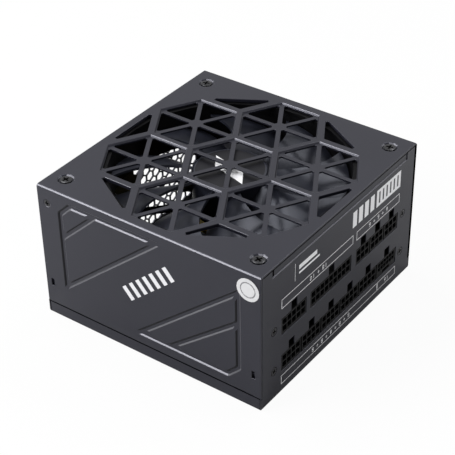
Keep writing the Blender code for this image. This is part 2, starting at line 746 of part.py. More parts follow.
def top_cover(material):
    """Top with the pressed grille, and two side walls, folded from one sheet."""
    bm = bmesh.new()
    outline = [(x, HEIGHT - z) for x, z in channel(HALF_W, HEIGHT - SEAM_HEIGHT - GAP)]
    prism(bm, "Y", FRONT, BACK, outline)
    cover = make("top_cover", bm, material)

    bm = bmesh.new()
    prism(bm, "Z", HEIGHT - SHEET - HEX_DEPTH, HEIGHT - SHEET / 2, grille_outline())
    for middle in corners_of(FAN_HOLE_AT, FAN_HOLE_AT):
        foot, top = DIMPLE_FLOOR / 2 + SHEET, DIMPLE_MOUTH / 2 + SHEET
        profile = (
            (foot, HEIGHT - DIMPLE_DEPTH - SHEET),
            (top, HEIGHT - SHEET / 2),
        )
        turn(bm, profile, ROUND_SIDES, "Z", middle)
    combine(cover, "cover_pressings", bm, "UNION")

    bm = bmesh.new()
    top_flats = HEX_PITCH - HEX_RIB
    for middle in hexagon_places():
        rim = hexagon(middle, top_flats)
        foot = hexagon(middle, top_flats - 2 * HEX_SLOPE)
        taper(bm, "Z", ((HEIGHT - HEX_DEPTH, foot), (HEIGHT, rim), (HEIGHT + OVERRUN, rim)))
    for middle in corners_of(FAN_HOLE_AT, FAN_HOLE_AT):
        profile = (
            (FAN_HOLE / 2, HEIGHT - FAN_TOP),
            (FAN_HOLE / 2, DIMPLE_DEPTH),
            (DIMPLE_FLOOR / 2, DIMPLE_DEPTH),
            (DIMPLE_MOUTH / 2, 0),
            (DIMPLE_MOUTH / 2, -OVERRUN),
        )
        turn(bm, [(r, HEIGHT - drop) for r, drop in profile], ROUND_SIDES, "Z", middle)
    combine(cover, "cover_recesses", bm, "DIFFERENCE")

    bm = bmesh.new()
    grille_openings(bm)
    combine(cover, "cover_grille", bm, "DIFFERENCE")

    pockets, fields = bmesh.new(), bmesh.new()
    wall_presses(pockets, fields)
    for side in (-1, 1):
        run = sorted((side * (WALL_INSIDE - OVERRUN), side * (HALF_W + OVERRUN)))
        seam_end = HALF_D - CORNER_TAB
        box(pockets, (run[0], -seam_end, 0), (run[1], seam_end, COVER_BOTTOM))
        for end in (-1, 1):
            middle = (end * COVER_SCREW_Y, COVER_SCREW_Z)
            countersink(pockets, "X", side * HALF_W, -side, COVER_SCREW_HEAD, COVER_SCREW_SHANK, middle)
            slot = centred((SLOT_WIDTH, SLOT_HEIGHT), (end * (HALF_D - SLOT_INSET), SLOT_Z))
            prism(pockets, "X", *run, slot)
    combine(cover, "cover_wall_lines", pockets, "DIFFERENCE")
    combine(cover, "cover_wall_fields", fields, "UNION")


def screw(name, material, head, shank, length, location, rotation):
    """A countersunk screw: its head is flush with the origin and its shank runs down."""
    bm = bmesh.new()
    profile = ((shank / 2, -length), (shank / 2, -COUNTERSINK), (head / 2, -GAP / 2))
    turn(bm, profile, ROUND_SIDES)
    make(name, bm, material, location, rotation)


def panel_screw_places():
    rows = (ROW_LOW_Z - PANEL_SCREW_BELOW, ROW_HIGH_Z + PANEL_SCREW_ABOVE)
    return [(side * PANEL_SCREW_X, z) for z in rows for side in (-1, 1)]


def cover_screws(material):
    number = 1
    for side in (-1, 1):
        for end in (-1, 1):
            place = (side * HALF_W, end * COVER_SCREW_Y, COVER_SCREW_Z)
            sizes = (COVER_SCREW_HEAD, COVER_SCREW_SHANK, COVER_SCREW_LENGTH)
            turned = (0, side * math.pi / 2, 0)
            screw(f"cover_screw_{number}", material, *sizes, place, turned)
            number += 1


def screw_seal(material):
    """A paper disc stuck over the cover screw nearest the sockets."""
    bm = bmesh.new()
    outer = -HALF_W - SEAL_LIFT - SEAL_THICKNESS
    middle = (-COVER_SCREW_Y + SEAL_SHIFT, COVER_SCREW_Z)
    rod(bm, "X", SEAL_DIAMETER / 2, outer, outer + SEAL_THICKNESS, middle, 2 * ROUND_SIDES)
    make("screw_seal", bm, material)


def fan_frame(material):
    """Square frame with a round duct, struts, a motor seat and the bearing tube."""
    bm = bmesh.new()
    square = rounded(centred((FAN_SIZE, FAN_SIZE)), FAN_CORNER)
    prism(bm, "Z", FAN_BOTTOM, FAN_TOP, square)
    frame = make("fan_frame", bm, material)

    bm = bmesh.new()
    rod(bm, "Z", BORE_RADIUS, FAN_BOTTOM - OVERRUN, FAN_TOP + OVERRUN, sides=FAN_SIDES)
    for middle in corners_of(FAN_HOLE_AT, FAN_HOLE_AT):
        rod(bm, "Z", FAN_HOLE / 2, FAN_BOTTOM - OVERRUN, FAN_TOP + OVERRUN, middle)
    combine(frame, "fan_bore", bm, "DIFFERENCE")

    bm = bmesh.new()
    low, high = FAN_BOTTOM + FAN_LIP, FAN_TOP - FAN_LIP
    wall, beyond = BORE_RADIUS + FAN_WALL, FAN_SIZE
    turn(bm, ((wall, low), (beyond, low), (beyond, high), (wall, high)), FAN_SIDES, ring=True)
    combine(frame, "fan_corner_pockets", bm, "DIFFERENCE")

    bm = bmesh.new()
    seat = MOTOR_SEAT / 2
    profile = (
        (TUBE_BORE, FAN_BOTTOM + HUB_WALL),
        (TUBE_BORE, TUBE_TOP),
        (TUBE_RADIUS, TUBE_TOP),
        (TUBE_RADIUS, SEAT_TOP),
        (seat, SEAT_TOP),
        (seat, FAN_BOTTOM),
    )
    turn(bm, profile, 2 * ROUND_SIDES)
    combine(frame, "fan_motor_seat", bm, "UNION")

    bm = bmesh.new()
    for k in range(STRUT_COUNT):
        angle = math.tau * (k + 0.5) / STRUT_COUNT
        bar = rectangle(seat - HUB_WALL, -STRUT_WIDTH / 2, BORE_RADIUS + FAN_WALL / 2, STRUT_WIDTH / 2)
        prism(bm, "Z", FAN_BOTTOM + GAP, SEAT_TOP - GAP, swung(bar, angle))
    combine(frame, "fan_struts", bm, "UNION")


def blade(bm, turned, root, tip, low, high):
    """One twisted blade, lofted from its root in the hub wall to its tip."""
    sections = []
    for i in range(BLADE_STATIONS + 1):
        out = i / BLADE_STATIONS
        radius = root + (tip - root) * out
        rise = BLADE_RISE_ROOT + (BLADE_RISE_TIP - BLADE_RISE_ROOT) * out
        upper, lower = [], []
        for k in range(BLADE_CHORD_STEPS + 1):
            along = k / BLADE_CHORD_STEPS - 0.5
            angle = turned + BLADE_SWEEP * out * out + BLADE_SPAN * along
            edge = (2 * along) ** 2
            height = (low + high) / 2 + rise * along + BLADE_CAMBER * (1 - edge)
            half = BLADE_THICKNESS / 2 * (1 - BLADE_THINNING * edge)
            x, y = polar(radius, angle)
            upper.append((x, y, height + half))
            lower.append((x, y, height - half))
        sections.append(upper + lower[::-1])
    loft(bm, sections)


def fan_rotor(material):
    """Hub cup with its blades; the leading edges are the high ones."""
    drop = -HUB_HEIGHT
    bore = SHAFT_DIAMETER / 2 + GAP
    inner = HUB_RADIUS - HUB_WALL
    bm = bmesh.new()
    profile = (
        (bore, -HUB_WALL / 2),
        (bore, -HUB_WALL - SHAFT_SOCKET),
        (SHAFT_BOSS / 2, -HUB_WALL - SHAFT_SOCKET),
        (SHAFT_BOSS / 2, -HUB_WALL),
        (inner, -HUB_WALL),
        (inner, drop),
        (HUB_RADIUS, drop),
        (HUB_RADIUS, -HUB_EDGE),
        (HUB_RADIUS - HUB_EDGE, 0),
    )
    turn(bm, profile, 2 * ROUND_SIDES)
    rotor = make("fan_rotor", bm, material, (0, 0, HUB_TOP))

    bm = bmesh.new()
    tip = BORE_RADIUS - TIP_CLEARANCE
    for k in range(BLADE_COUNT):
        turned = BLADE_TURN + math.tau * k / BLADE_COUNT
        blade(bm, turned, HUB_RADIUS - HUB_WALL / 2, tip, drop, 0)
    combine(rotor, "fan_blades", bm, "UNION")


def fan_drive(steel, bronze, copper):
    """Shaft in the hub, the bush it turns in, and the wound stator on the bearing tube."""
    bm = bmesh.new()
    shaft_top = HUB_TOP - HUB_WALL / 2 - GAP
    rod(bm, "Z", SHAFT_DIAMETER / 2, FAN_BOTTOM + HUB_WALL + RUNNING_GAP, shaft_top)
    make("fan_shaft", bm, steel)

    bm = bmesh.new()
    bush_low, bush_high = FAN_BOTTOM + HUB_WALL + GAP, TUBE_TOP
    profile = (
        (BUSH_BORE, bush_low),
        (BUSH_RADIUS, bush_low),
        (BUSH_RADIUS, bush_high),
        (BUSH_BORE, bush_high),
    )
    turn(bm, profile, ROUND_SIDES, ring=True)
    make("fan_bearing", bm, bronze)

    bm = bmesh.new()
    low = SEAT_TOP + GAP
    high = low + STATOR_HEIGHT
    inner, outer = TUBE_RADIUS + GAP, STATOR_DIAMETER / 2
    profile = ((inner, low), (outer, low), (outer, high), (inner, high))
    turn(bm, profile, 2 * ROUND_SIDES, ring=True)
    stator = make("fan_stator", bm, copper)
    bm = bmesh.new()
    for k in range(STATOR_SLOTS):
        angle = math.tau * (k + 0.5) / STATOR_SLOTS
        bar = rectangle(
            outer - STATOR_SLOT_DEPTH, -STATOR_SLOT_WIDTH / 2, outer + OVERRUN, STATOR_SLOT_WIDTH / 2
        )
        prism(bm, "Z", low - OVERRUN, high + OVERRUN, swung(bar, angle))
    combine(stator, "stator_slots", bm, "DIFFERENCE")


def fan_screws(material):
    """Pan heads that sit in the dimples, with shanks in the corners of the fan frame."""
    for number, (x, y) in enumerate(corners_of(FAN_HOLE_AT, FAN_HOLE_AT), 1):
        bm = bmesh.new()
        seat = -DIMPLE_DEPTH + GAP
        profile = (
            (FAN_SCREW_SHANK / 2, -FAN_SCREW_LENGTH),
            (FAN_SCREW_SHANK / 2, seat),
            (FAN_SCREW_HEAD / 2, seat),
            (FAN_SCREW_HEAD / 2, -GAP),
        )
        turn(bm, profile, ROUND_SIDES)
        make(f"fan_screw_{number}", bm, material, (x, y, HEIGHT))


def inlet_outline():
    """Mouth of the appliance inlet, with its two slanted corners at the top."""
    half_w, half_h = INLET_MOUTH[0] / 2, INLET_MOUTH[1] / 2
    cut = INLET_CHAMFER
    outline = [(-half_w, -half_h), (half_w, -half_h), (half_w, half_h - cut), (half_w - cut, half_h)]
    return outline + [(cut - half_w, half_h), (-half_w, half_h - cut)]


def pin_places():
    """Two live poles, and the earth pole between them and towards the slanted corners."""
    return [(-PIN_SPREAD, -PIN_OFFSET), (PIN_SPREAD, -PIN_OFFSET), (0, PIN_OFFSET)]


def inlet_socket(black, brass):
    """Moulded housing with a deep mouth, and three blades through its floor."""
    face = INLET_FLANGE_LIP + GAP
    place = (INLET_X, BACK, INLET_Z)
    bm = bmesh.new()
    prism(bm, "Y", GAP, face, rounded(centred(INLET_FLANGE), INLET_CORNER))
    housing = make("inlet_socket", bm, black, place)
    bm = bmesh.new()
    prism(bm, "Y", face - INLET_LENGTH, face - INLET_FLANGE_LIP / 2, centred(INLET_BODY))
    combine(housing, "inlet_body", bm, "UNION")
    bm = bmesh.new()
    prism(bm, "Y", face - INLET_RECESS, face + OVERRUN, inlet_outline())
    combine(housing, "inlet_mouth", bm, "DIFFERENCE")
    bm = bmesh.new()
    for middle in pin_places():
        slot = offset(centred(PIN_SIZE, middle), GAP)
        prism(bm, "Y", face - INLET_LENGTH - OVERRUN, face - INLET_RECESS + OVERRUN, slot)
    combine(housing, "inlet_pin_slots", bm, "DIFFERENCE")
    for number, middle in enumerate(pin_places(), 1):
        bm = bmesh.new()
        high = face - PIN_SET_BACK
        tip = offset(centred(PIN_SIZE, middle), -PIN_SIZE[0] / 4)
        full = centred(PIN_SIZE, middle)
        low = face - INLET_LENGTH - PIN_TAIL
        taper(bm, "Y", ((low, full), (high - PIN_SIZE[0] / 2, full), (high, tip)))
        make(f"inlet_pin_{number}", bm, brass, place)


def switch_housing(black):
    """Bezel and open body of the rocker switch, with bores for the rocker's trunnions."""
    face = SWITCH_BEZEL_LIP + GAP
    place = (SWITCH_X, BACK, INLET_Z)
    bm = bmesh.new()
    prism(bm, "Y", GAP, face, rounded(centred(SWITCH_BEZEL), INLET_CORNER))
    housing = make("switch_housing", bm, black, place)
    bm = bmesh.new()
    prism(bm, "Y", face - SWITCH_LENGTH, face - SWITCH_BEZEL_LIP / 2, centred(SWITCH_BODY))
    combine(housing, "switch_body", bm, "UNION")
    bm = bmesh.new()
    well = (rocker_width() + 2 * GAP, 2 * (ROCKER_RADIUS + 2 * GAP))
    prism(bm, "Y", face - SWITCH_LENGTH + SWITCH_WALL, face + OVERRUN, centred(well))
    combine(housing, "switch_well", bm, "DIFFERENCE")
    bm = bmesh.new()
    reach = rocker_width() / 2 + GAP + TRUNNION_LENGTH
    middle = (ROCKER_PIVOT_Y - BACK, 0)
    rod(bm, "X", TRUNNION / 2 + GAP, -reach, reach, middle)
    combine(housing, "switch_bores", bm, "DIFFERENCE")


def rocker_width():
    return SWITCH_BODY[0] - 2 * SWITCH_WALL


def switch_rocker(black):
    """Rocker at its first rest, one end pressed in; it turns about its trunnions."""
    half = rocker_width() / 2
    steps = 3
    low, high = -ROCKER_TILT, math.asin(ROCKER_REACH / ROCKER_RADIUS)
    turns = [low + (high - low) * k / steps for k in range(steps + 1)]
    end = [(ROCKER_RADIUS * math.sin(a), ROCKER_RADIUS * math.cos(a)) for a in turns]
    other_end = [(y, -z) for y, z in reversed(end)]
    outline = end + [(ROCKER_DISH, 0)] + other_end + [(-ROCKER_KEEL, 0)]
    bm = bmesh.new()
    prism(bm, "X", -half, half, outline)
    place = (SWITCH_X, ROCKER_PIVOT_Y, INLET_Z)
    rocker = make("switch_rocker", bm, black, place, (-ROCKER_TILT, 0, 0))
    bm = bmesh.new()
    rod(bm, "X", TRUNNION / 2, -half - TRUNNION_LENGTH, half + TRUNNION_LENGTH)
    combine(rocker, "rocker_trunnions", bm, "UNION")


def cable_socket(socket, black):
    """Moulded header: two rows of blind cells, and a ramp for the plug's latch on top."""
    low_z = socket.middle_z - HOUSING_HEIGHT / 2
    high_z = socket.middle_z + HOUSING_HEIGHT / 2
    right = socket.left + socket.width
    bm = bmesh.new()
    box(bm, (socket.left, HOUSING_FRONT, low_z), (right, HOUSING_BACK, high_z))
    housing = make(socket.name, bm, black)

    middle = socket.left + socket.width / 2
    half = RAMP_WIDTH / 2
    start = HOUSING_FRONT + RAMP_START
    bm = bmesh.new()
    wedge = [
        (start, high_z - RAMP_HEIGHT),
        (start + RAMP_LENGTH, high_z - RAMP_HEIGHT),
        (start + RAMP_LENGTH, high_z + RAMP_HEIGHT),
    ]
    prism(bm, "X", middle - half, middle + half, wedge)
    combine(housing, f"{socket.name}_ramp", bm, "UNION")

    bm = bmesh.new()
    fine = socket.pitch == FINE_PITCH
    raise_by = FINE_RAISE if fine else 0
    ends = (HOUSING_FRONT - OVERRUN, HOUSING_FRONT + CELL_DEPTH)
    first = middle - socket.pitch * (socket.columns - 1) / 2
    for column in range(socket.columns):
        for row in (-1, 1):
            place = (first + column * socket.pitch, socket.middle_z + raise_by + row * socket.pitch / 2)
            prism(bm, "Y", *ends, centred((socket.cell, socket.cell), place))
    if fine:
        prism(bm, "Y", *ends, centred(SENSE_SLOT, (middle, socket.middle_z - SENSE_DROP)))
    combine(housing, f"{socket.name}_cells", bm, "DIFFERENCE")


def front_panel_parts(black, green, steel):
    """Sockets, the board that carries them, its spacers and its countersunk screws."""
    for group in socket_rows():
        for socket in group:
            cable_socket(socket, black)

    low = ROW_LOW_Z - MODULAR_BELOW
    high = FAN_BOTTOM - MODULAR_ROOM
    bm = bmesh.new()
    box(bm, (-MODULAR_HALF, MODULAR_FRONT, low), (MODULAR_HALF, MODULAR_BACK, high))
    make("modular_board", bm, green)

    bore = PANEL_SCREW_SHANK / 2 + GAP
    start, end = FRONT + SHEET + GAP, MODULAR_FRONT - GAP
    for number, (x, z) in enumerate(panel_screw_places(), 1):
        sizes = (PANEL_SCREW_HEAD, PANEL_SCREW_SHANK, PANEL_SCREW_LENGTH)
        screw(f"panel_screw_{number}", black, *sizes, (x, FRONT, z), (math.pi / 2, 0, 0))
        bm = bmesh.new()
        profile = (
            (bore, start),
            (SPACER_DIAMETER / 2, start),
            (SPACER_DIAMETER / 2, end),
            (bore, end),
        )
        turn(bm, profile, HEX_SIDES, "Y", (x, z), ring=True)
        make(f"board_spacer_{number}", bm, steel)


def boss_places():
    middle = (MAIN_LOW_Y + MAIN_HIGH_Y) / 2
    reach = (MAIN_HIGH_Y - MAIN_LOW_Y) / 2 - BOSS_INSET
    return [(x, middle + y) for x, y in corners_of(MAIN_HALF - BOSS_INSET, reach)]


def main_board(green, clear_film):
    """Circuit board on its bosses, and the film under it that the bosses pass through."""
    bm = bmesh.new()
    box(bm, (-MAIN_HALF, MAIN_LOW_Y, BOARD_UNDER), (MAIN_HALF, MAIN_HIGH_Y, BOARD_TOP))
    make("main_board", bm, green)

    bm = bmesh.new()
    low = SHEET + GAP
    box(bm, (-MAIN_HALF, MAIN_LOW_Y, low), (MAIN_HALF, MAIN_HIGH_Y, low + FILM))
    film = make("insulating_sheet", bm, clear_film)
    bm = bmesh.new()
    for middle in boss_places():
        rod(bm, "Z", BOSS_FOOT / 2 + GAP, 0, low + FILM + OVERRUN, middle)
    combine(film, "film_holes", bm, "DIFFERENCE")


def can(name, material, diameter, height, place, sides):
    """An aluminium capacitor can with a rolled bead near its foot."""
    radius = diameter / 2
    neck = radius - BULK_BEAD
    low = SEAT_Z
    profile = (
        (radius, low),
        (radius, low + 2 * BULK_BEAD),
        (neck, low + 3 * BULK_BEAD),
        (radius, low + 4 * BULK_BEAD),
        (radius, low + height - BULK_BEAD),
        (neck, low + height),
    )
    bm = bmesh.new()
    turn(bm, profile, sides, "Z", place)
    make(name, bm, material)


def block(name, material, size, place):
    """A moulded or taped block on the board, with softened upright edges and top."""
    high = SEAT_Z + size[2]
    full = rounded(centred(size, place), BLOCK_EDGE, 2)
    top = rounded(offset(centred(size, place), -BLOCK_EDGE / 2), BLOCK_EDGE, 2)
    bm = bmesh.new()
    taper(bm, "Z", ((SEAT_Z, full), (high - BLOCK_EDGE / 2, full), (high, top)))
    make(name, bm, material)


def heatsink(name, material, x, run, way):
    """An extruded comb: an upright spine with level fins to one side."""
    spine = way * SINK_SPINE
    step = (SINK_HEIGHT - SINK_FIN_THICKNESS) / (SINK_FIN_COUNT - 1)
    outline = [(0, SINK_HEIGHT), (0, 0), (spine, 0)]
    for k in range(1, SINK_FIN_COUNT):
        level = k * step
        fin = spine + way * SINK_FIN
        outline += [(spine, level), (fin, level), (fin, level + SINK_FIN_THICKNESS)]
        if k < SINK_FIN_COUNT - 1:
            outline.append((spine, level + SINK_FIN_THICKNESS))
    bm = bmesh.new()
    prism(bm, "Y", *run, [(x + u, SEAT_Z + v) for u, v in outline])
    make(name, bm, material)


def transformer(ferrite, tape):
    """Two-window core standing on the board, with a taped coil round its middle leg."""
    x, y = CORE_AT
    width, thickness, height = CORE_SIZE
    window = (width - CORE_LEG) / 2 - CORE_LIMB
    low, high = SEAT_Z + CORE_YOKE, SEAT_Z + height - CORE_YOKE
    bm = bmesh.new()
    front = rectangle(x - width / 2, SEAT_Z, x + width / 2, SEAT_Z + height)
    prism(bm, "Y", y - thickness / 2, y + thickness / 2, front)
    core = make("transformer_core", bm, ferrite)
    bm = bmesh.new()
    for side in (-1, 1):
        edges = sorted((side * CORE_LEG / 2, side * (CORE_LEG / 2 + window)))
        outline = rectangle(x + edges[0], low, x + edges[1], high)
        prism(bm, "Y", y - thickness, y + thickness, outline)
    combine(core, "core_windows", bm, "DIFFERENCE")

    hole = (CORE_LEG + 2 * GAP, thickness + 2 * GAP)
    outer = (CORE_LEG + 2 * window - 2 * GAP, hole[1] + 2 * COIL_WALL)
    bm = bmesh.new()
    prism(bm, "Z", low + GAP, high - GAP, rounded(centred(outer, CORE_AT), COIL_WALL / 2))
    coil = make("transformer_coil", bm, tape)
    bm = bmesh.new()
    prism(bm, "Z", low - OVERRUN, high + OVERRUN, centred(hole, CORE_AT))
    combine(coil, "coil_hole", bm, "DIFFERENCE")


def common_mode_choke(material):
    """A wound ring that stands on its edge behind the inlet."""
    x, y = CHOKE_SIDE - HALF_W, BACK - CHOKE_BACK
    outer, inner, half = CHOKE_OUTER / 2, CHOKE_INNER / 2, CHOKE_WIDTH / 2
    edge = half / 3
    profile = (
        (inner, y - half + edge),
        (inner + edge, y - half),
        (outer - edge, y - half),
        (outer, y - half + edge),
        (outer, y + half - edge),
        (outer - edge, y + half),
        (inner + edge, y + half),
        (inner, y + half - edge),
    )
    bm = bmesh.new()
    turn(bm, profile, CHOKE_SIDES, "Y", (x, SEAT_Z + outer), ring=True)
    make("common_mode_choke", bm, material)


def board_parts(finishes):
    """The larger parts of the circuit, from the mains side to the outputs."""
    black, copper, metal = finishes["black"], finishes["copper"], finishes["aluminium"]
    green, tape, box_yellow = finishes["green"], finishes["tape"], finishes["film_box"]
    bulk_place = (BULK_SIDE - HALF_W, BULK_AT_Y)
    can("bulk_capacitor", black, BULK_DIAMETER, BULK_HEIGHT, bulk_place, 2 * ROUND_SIDES)
    common_mode_choke(copper)
    block("filter_capacitor", box_yellow, FILTER_SIZE, (FILTER_AT_X, BACK - FILTER_BACK))
    heatsink("primary_heatsink", metal, PRIMARY_SINK_AT_X, PRIMARY_SINK_AT_Y, 1)
    secondary_run = (FRONT + SECONDARY_SINK_FRONT, SECONDARY_SINK_AT_Y)
    heatsink("secondary_heatsink", metal, HALF_W - SECONDARY_SINK_SIDE, secondary_run, 1)
    bridge_x = PRIMARY_SINK_AT_X - GAP - BRIDGE_SIZE[0] / 2
    bm = bmesh.new()
    low = SEAT_Z + BRIDGE_LEAD
    outline = centred(BRIDGE_SIZE, (bridge_x, BRIDGE_AT_Y))
    prism(bm, "Z", low, low + BRIDGE_SIZE[2], outline)
    make("bridge_rectifier", bm, black)
    transformer(finishes["ferrite"], tape)
    pfc_size = (*PFC_PLAN, FAN_BOTTOM - PFC_ROOM - SEAT_Z)
    block("pfc_choke", tape, pfc_size, (HALF_W - PFC_SIDE, BACK - PFC_BACK))
    block("standby_transformer", box_yellow, STANDBY_SIZE, (STANDBY_AT_X, BACK - STANDBY_BACK))
    bm = bmesh.new()
    high = SEAT_Z + CONTROL_HEIGHT
    near, far = CONTROL_AT_Y
    box(bm, (CONTROL_AT_X, near, SEAT_Z), (CONTROL_AT_X + BOARD, far, high))
    make("control_board", bm, green)
    for number in range(OUTPUT_COUNT):
        place = (OUTPUT_AT_X + number * OUTPUT_PITCH, FRONT + OUTPUT_FRONT)
        name = f"output_capacitor_{number + 1}"
        can(name, metal, OUTPUT_DIAMETER, OUTPUT_HEIGHT, place, ROUND_SIDES)


def build():
    clear_scene()
    finishes = {
        "coat": finish("powder_coat", (0.030, 0.030, 0.034), 0.55),
        "black": finish("black_plastic", (0.012, 0.012, 0.013), 0.45),
        "grey": finish("fan_plastic", (0.045, 0.046, 0.052), 0.40),
        "steel": finish("bright_steel", (0.60, 0.60, 0.62), 0.30, 1.0),
        "screw": finish("black_screw", (0.020, 0.020, 0.022), 0.35, 0.6),
        "brass": finish("brass", (0.70, 0.56, 0.32), 0.30, 1.0),
        "bronze": finish("bronze", (0.55, 0.36, 0.20), 0.35, 1.0),
        "copper": finish("enamelled_copper", (0.48, 0.20, 0.08), 0.35, 0.8),
        "aluminium": finish("aluminium", (0.62, 0.63, 0.65), 0.40, 1.0),
        "green": finish("circuit_board", (0.030, 0.075, 0.040), 0.50),
        "film": finish("insulating_film", (0.70, 0.70, 0.66), 0.30),
        "ferrite": finish("ferrite", (0.050, 0.048, 0.046), 0.60),
        "tape": finish("winding_tape", (0.52, 0.38, 0.20), 0.50),
        "film_box": finish("capacitor_case", (0.62, 0.50, 0.16), 0.45),
        "paper": finish("white_paper", (0.80, 0.80, 0.78), 0.70),
    }
    base_shell(finishes["coat"])
    top_cover(finishes["coat"])
    cover_screws(finishes["screw"])
    screw_seal(finishes["paper"])
    fan_frame(finishes["black"])
    fan_rotor(finishes["grey"])
    fan_drive(finishes["steel"], finishes["bronze"], finishes["copper"])
    fan_screws(finishes["screw"])
    inlet_socket(finishes["black"], finishes["brass"])
    switch_housing(finishes["black"])
    switch_rocker(finishes["black"])
    front_panel_parts(finishes["black"], finishes["green"], finishes["steel"])
    main_board(finishes["green"], finishes["film"])
    board_parts(finishes)


build()
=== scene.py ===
import math

import bmesh
import bpy
from mathutils import Matrix, Vector
from mathutils.bvhtree import BVHTree


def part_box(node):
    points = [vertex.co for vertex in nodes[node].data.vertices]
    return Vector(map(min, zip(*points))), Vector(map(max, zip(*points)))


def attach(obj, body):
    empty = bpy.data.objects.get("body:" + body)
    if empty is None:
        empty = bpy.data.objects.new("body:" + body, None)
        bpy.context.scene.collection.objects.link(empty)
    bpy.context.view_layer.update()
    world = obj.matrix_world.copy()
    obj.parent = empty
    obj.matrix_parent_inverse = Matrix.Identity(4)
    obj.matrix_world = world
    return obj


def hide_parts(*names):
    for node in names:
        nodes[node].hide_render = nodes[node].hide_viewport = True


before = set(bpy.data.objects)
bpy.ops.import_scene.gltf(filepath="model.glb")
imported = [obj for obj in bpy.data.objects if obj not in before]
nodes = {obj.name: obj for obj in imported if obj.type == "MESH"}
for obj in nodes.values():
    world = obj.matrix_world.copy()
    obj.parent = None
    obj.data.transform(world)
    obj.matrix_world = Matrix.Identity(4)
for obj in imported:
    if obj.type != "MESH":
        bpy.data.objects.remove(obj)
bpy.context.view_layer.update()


# Base: floor, both end panels and side lips, folded from one steel sheet a millimetre thick.
# It is punched flat, folded, and powder-coated near black with a fine, dry grain. A brighter coat
# is painted on the drawn step below the front edge of the cover, as a painted highlight.
case_low, case_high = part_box("base_shell")
STRIP_LOW, STRIP_HIGH = case_high.z - 0.0056, case_high.z - 0.0040
STRIP_DEPTH = 0.0010
FRONT_UP = (0, -0.707, 0.707)
SQUARE_ON = 0.9
MIX_FIRST, MIX_SECOND, MIX_RESULT = 6, 7, 2


class Signal:
    """A socket of a node tree that takes part in arithmetic."""

    def __init__(self, tree, socket):
        self.tree = tree
        self.socket = socket

    @classmethod
    def make(cls, tree, kind, settings=None, inputs=None, output=0):
        """Add a node; settings are set first, then the values or links of its sockets."""
        node = tree.nodes.new(kind)
        for key, value in (settings or {}).items():
            setattr(node, key, value)
        for key, value in (inputs or {}).items():
            for one in value if isinstance(value, list) else [value]:
                if isinstance(one, Signal):
                    tree.links.new(one.socket, node.inputs[key])
                else:
                    node.inputs[key].default_value = one
        return cls(tree, node.outputs[output])

    def beside(self, output):
        """Another output of the same node."""
        return Signal(self.tree, self.socket.node.outputs[output])

    def mixed(self, first, second, blend="MIX"):
        """A colour between two others, with this signal as the share of the second."""
        settings = {"data_type": "RGBA", "blend_type": blend}
        colours = {"Factor": self, MIX_FIRST: first, MIX_SECOND: second}
        return self.make(self.tree, "ShaderNodeMix", settings, colours, MIX_RESULT)

    def math(self, operation, first, second=0.0):
        """A Math node on two signals or numbers."""
        return self.make(self.tree, "ShaderNodeMath", {"operation": operation}, {0: first, 1: second})

    def __add__(self, other):
        return self.math("ADD", self, other)

    def __radd__(self, other):
        return self.math("ADD", other, self)

    def __sub__(self, other):
        return self.math("SUBTRACT", self, other)

    def __rsub__(self, other):
        return self.math("SUBTRACT", other, self)

    def __mul__(self, other):
        return self.math("MULTIPLY", self, other)

    def __rmul__(self, other):
        return self.math("MULTIPLY", other, self)

    def __gt__(self, other):
        return self.math("GREATER_THAN", self, other)


GLOSS_DRIFT = 0.12
GRAIN_SIZE = 0.0004
GRAIN_DEPTH = 0.0001
GRAIN_DETAIL = 3.0


def finish(
    name,
    colour,
    roughness,
    metallic=0.0,
    mottle=0.2,
    patch=0.02,
    grain=0.0,
    sheen=0.5,
    tint=(1.0, 1.0, 1.0),
):
    """A surface whose tone and gloss drift a little over patches, with a fine grain in relief."""
    made = bpy.data.materials.new(name)
    made.use_nodes = True
    tree = made.node_tree
    shader = tree.nodes["Principled BSDF"]
    place = Signal.make(tree, "ShaderNodeTexCoord", output="Object")
    drift = Signal.make(tree, "ShaderNodeTexNoise", inputs={"Vector": place, "Scale": 1 / patch})
    pale = [min(1.0, c * (1 + mottle)) for c in colour]
    deep = [c * (1 - mottle) for c in colour]
    tone = drift.mixed((*deep, 1.0), (*pale, 1.0))
    tree.links.new(tone.socket, shader.inputs["Base Color"])
    gloss = roughness + (drift - 0.5) * GLOSS_DRIFT
    tree.links.new(gloss.socket, shader.inputs["Roughness"])
    shader.inputs["Metallic"].default_value = metallic
    shader.inputs["Specular IOR Level"].default_value = sheen
    shader.inputs["Specular Tint"].default_value = (*tint, 1.0)
    if grain:
        speck = Signal.make(
            tree,
            "ShaderNodeTexNoise",
            inputs={"Vector": place, "Scale": 1 / GRAIN_SIZE, "Detail": GRAIN_DETAIL},
        )
        relief = Signal.make(
            tree,
            "ShaderNodeBump",
            inputs={"Strength": grain, "Distance": GRAIN_DEPTH, "Height": speck},
            output="Normal",
        )
        tree.links.new(relief.socket, shader.inputs["Normal"])
    return made


SMOOTH_TURN = math.radians(40)


def linked(name, data):
    """A new object in the scene."""
    made = bpy.data.objects.new(name, data)
    bpy.context.scene.collection.objects.link(made)
    return made


def evaluated(holder):
    """The plain mesh of an object after its modifiers; the object itself is taken away."""
    mesh = bpy.data.meshes.new_from_object(holder.evaluated_get(bpy.context.evaluated_depsgraph_get()))
    holder.modifiers.clear()
    bpy.data.objects.remove(holder)
    return mesh


def placed(name, mesh, material, body, replaced=()):
    """Put a finished mesh into the scene as a piece that rides on a body."""
    mesh.materials.clear()
    mesh.materials.append(material)
    if not mesh.has_custom_normals:
        mesh.shade_smooth()
        mesh.set_sharp_from_angle(angle=SMOOTH_TURN)
    piece = linked(name, mesh)
    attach(piece, body)
    if replaced:
        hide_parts(*replaced)


MERGE_DISTANCE = 1e-6
BOX_DISTANCE = 1e-5
FLAT_TURN = math.radians(0.5)
EDGE_TURN = math.radians(25)
SHORT_EDGE = 2.2
FLAT_WEIGHT = 100


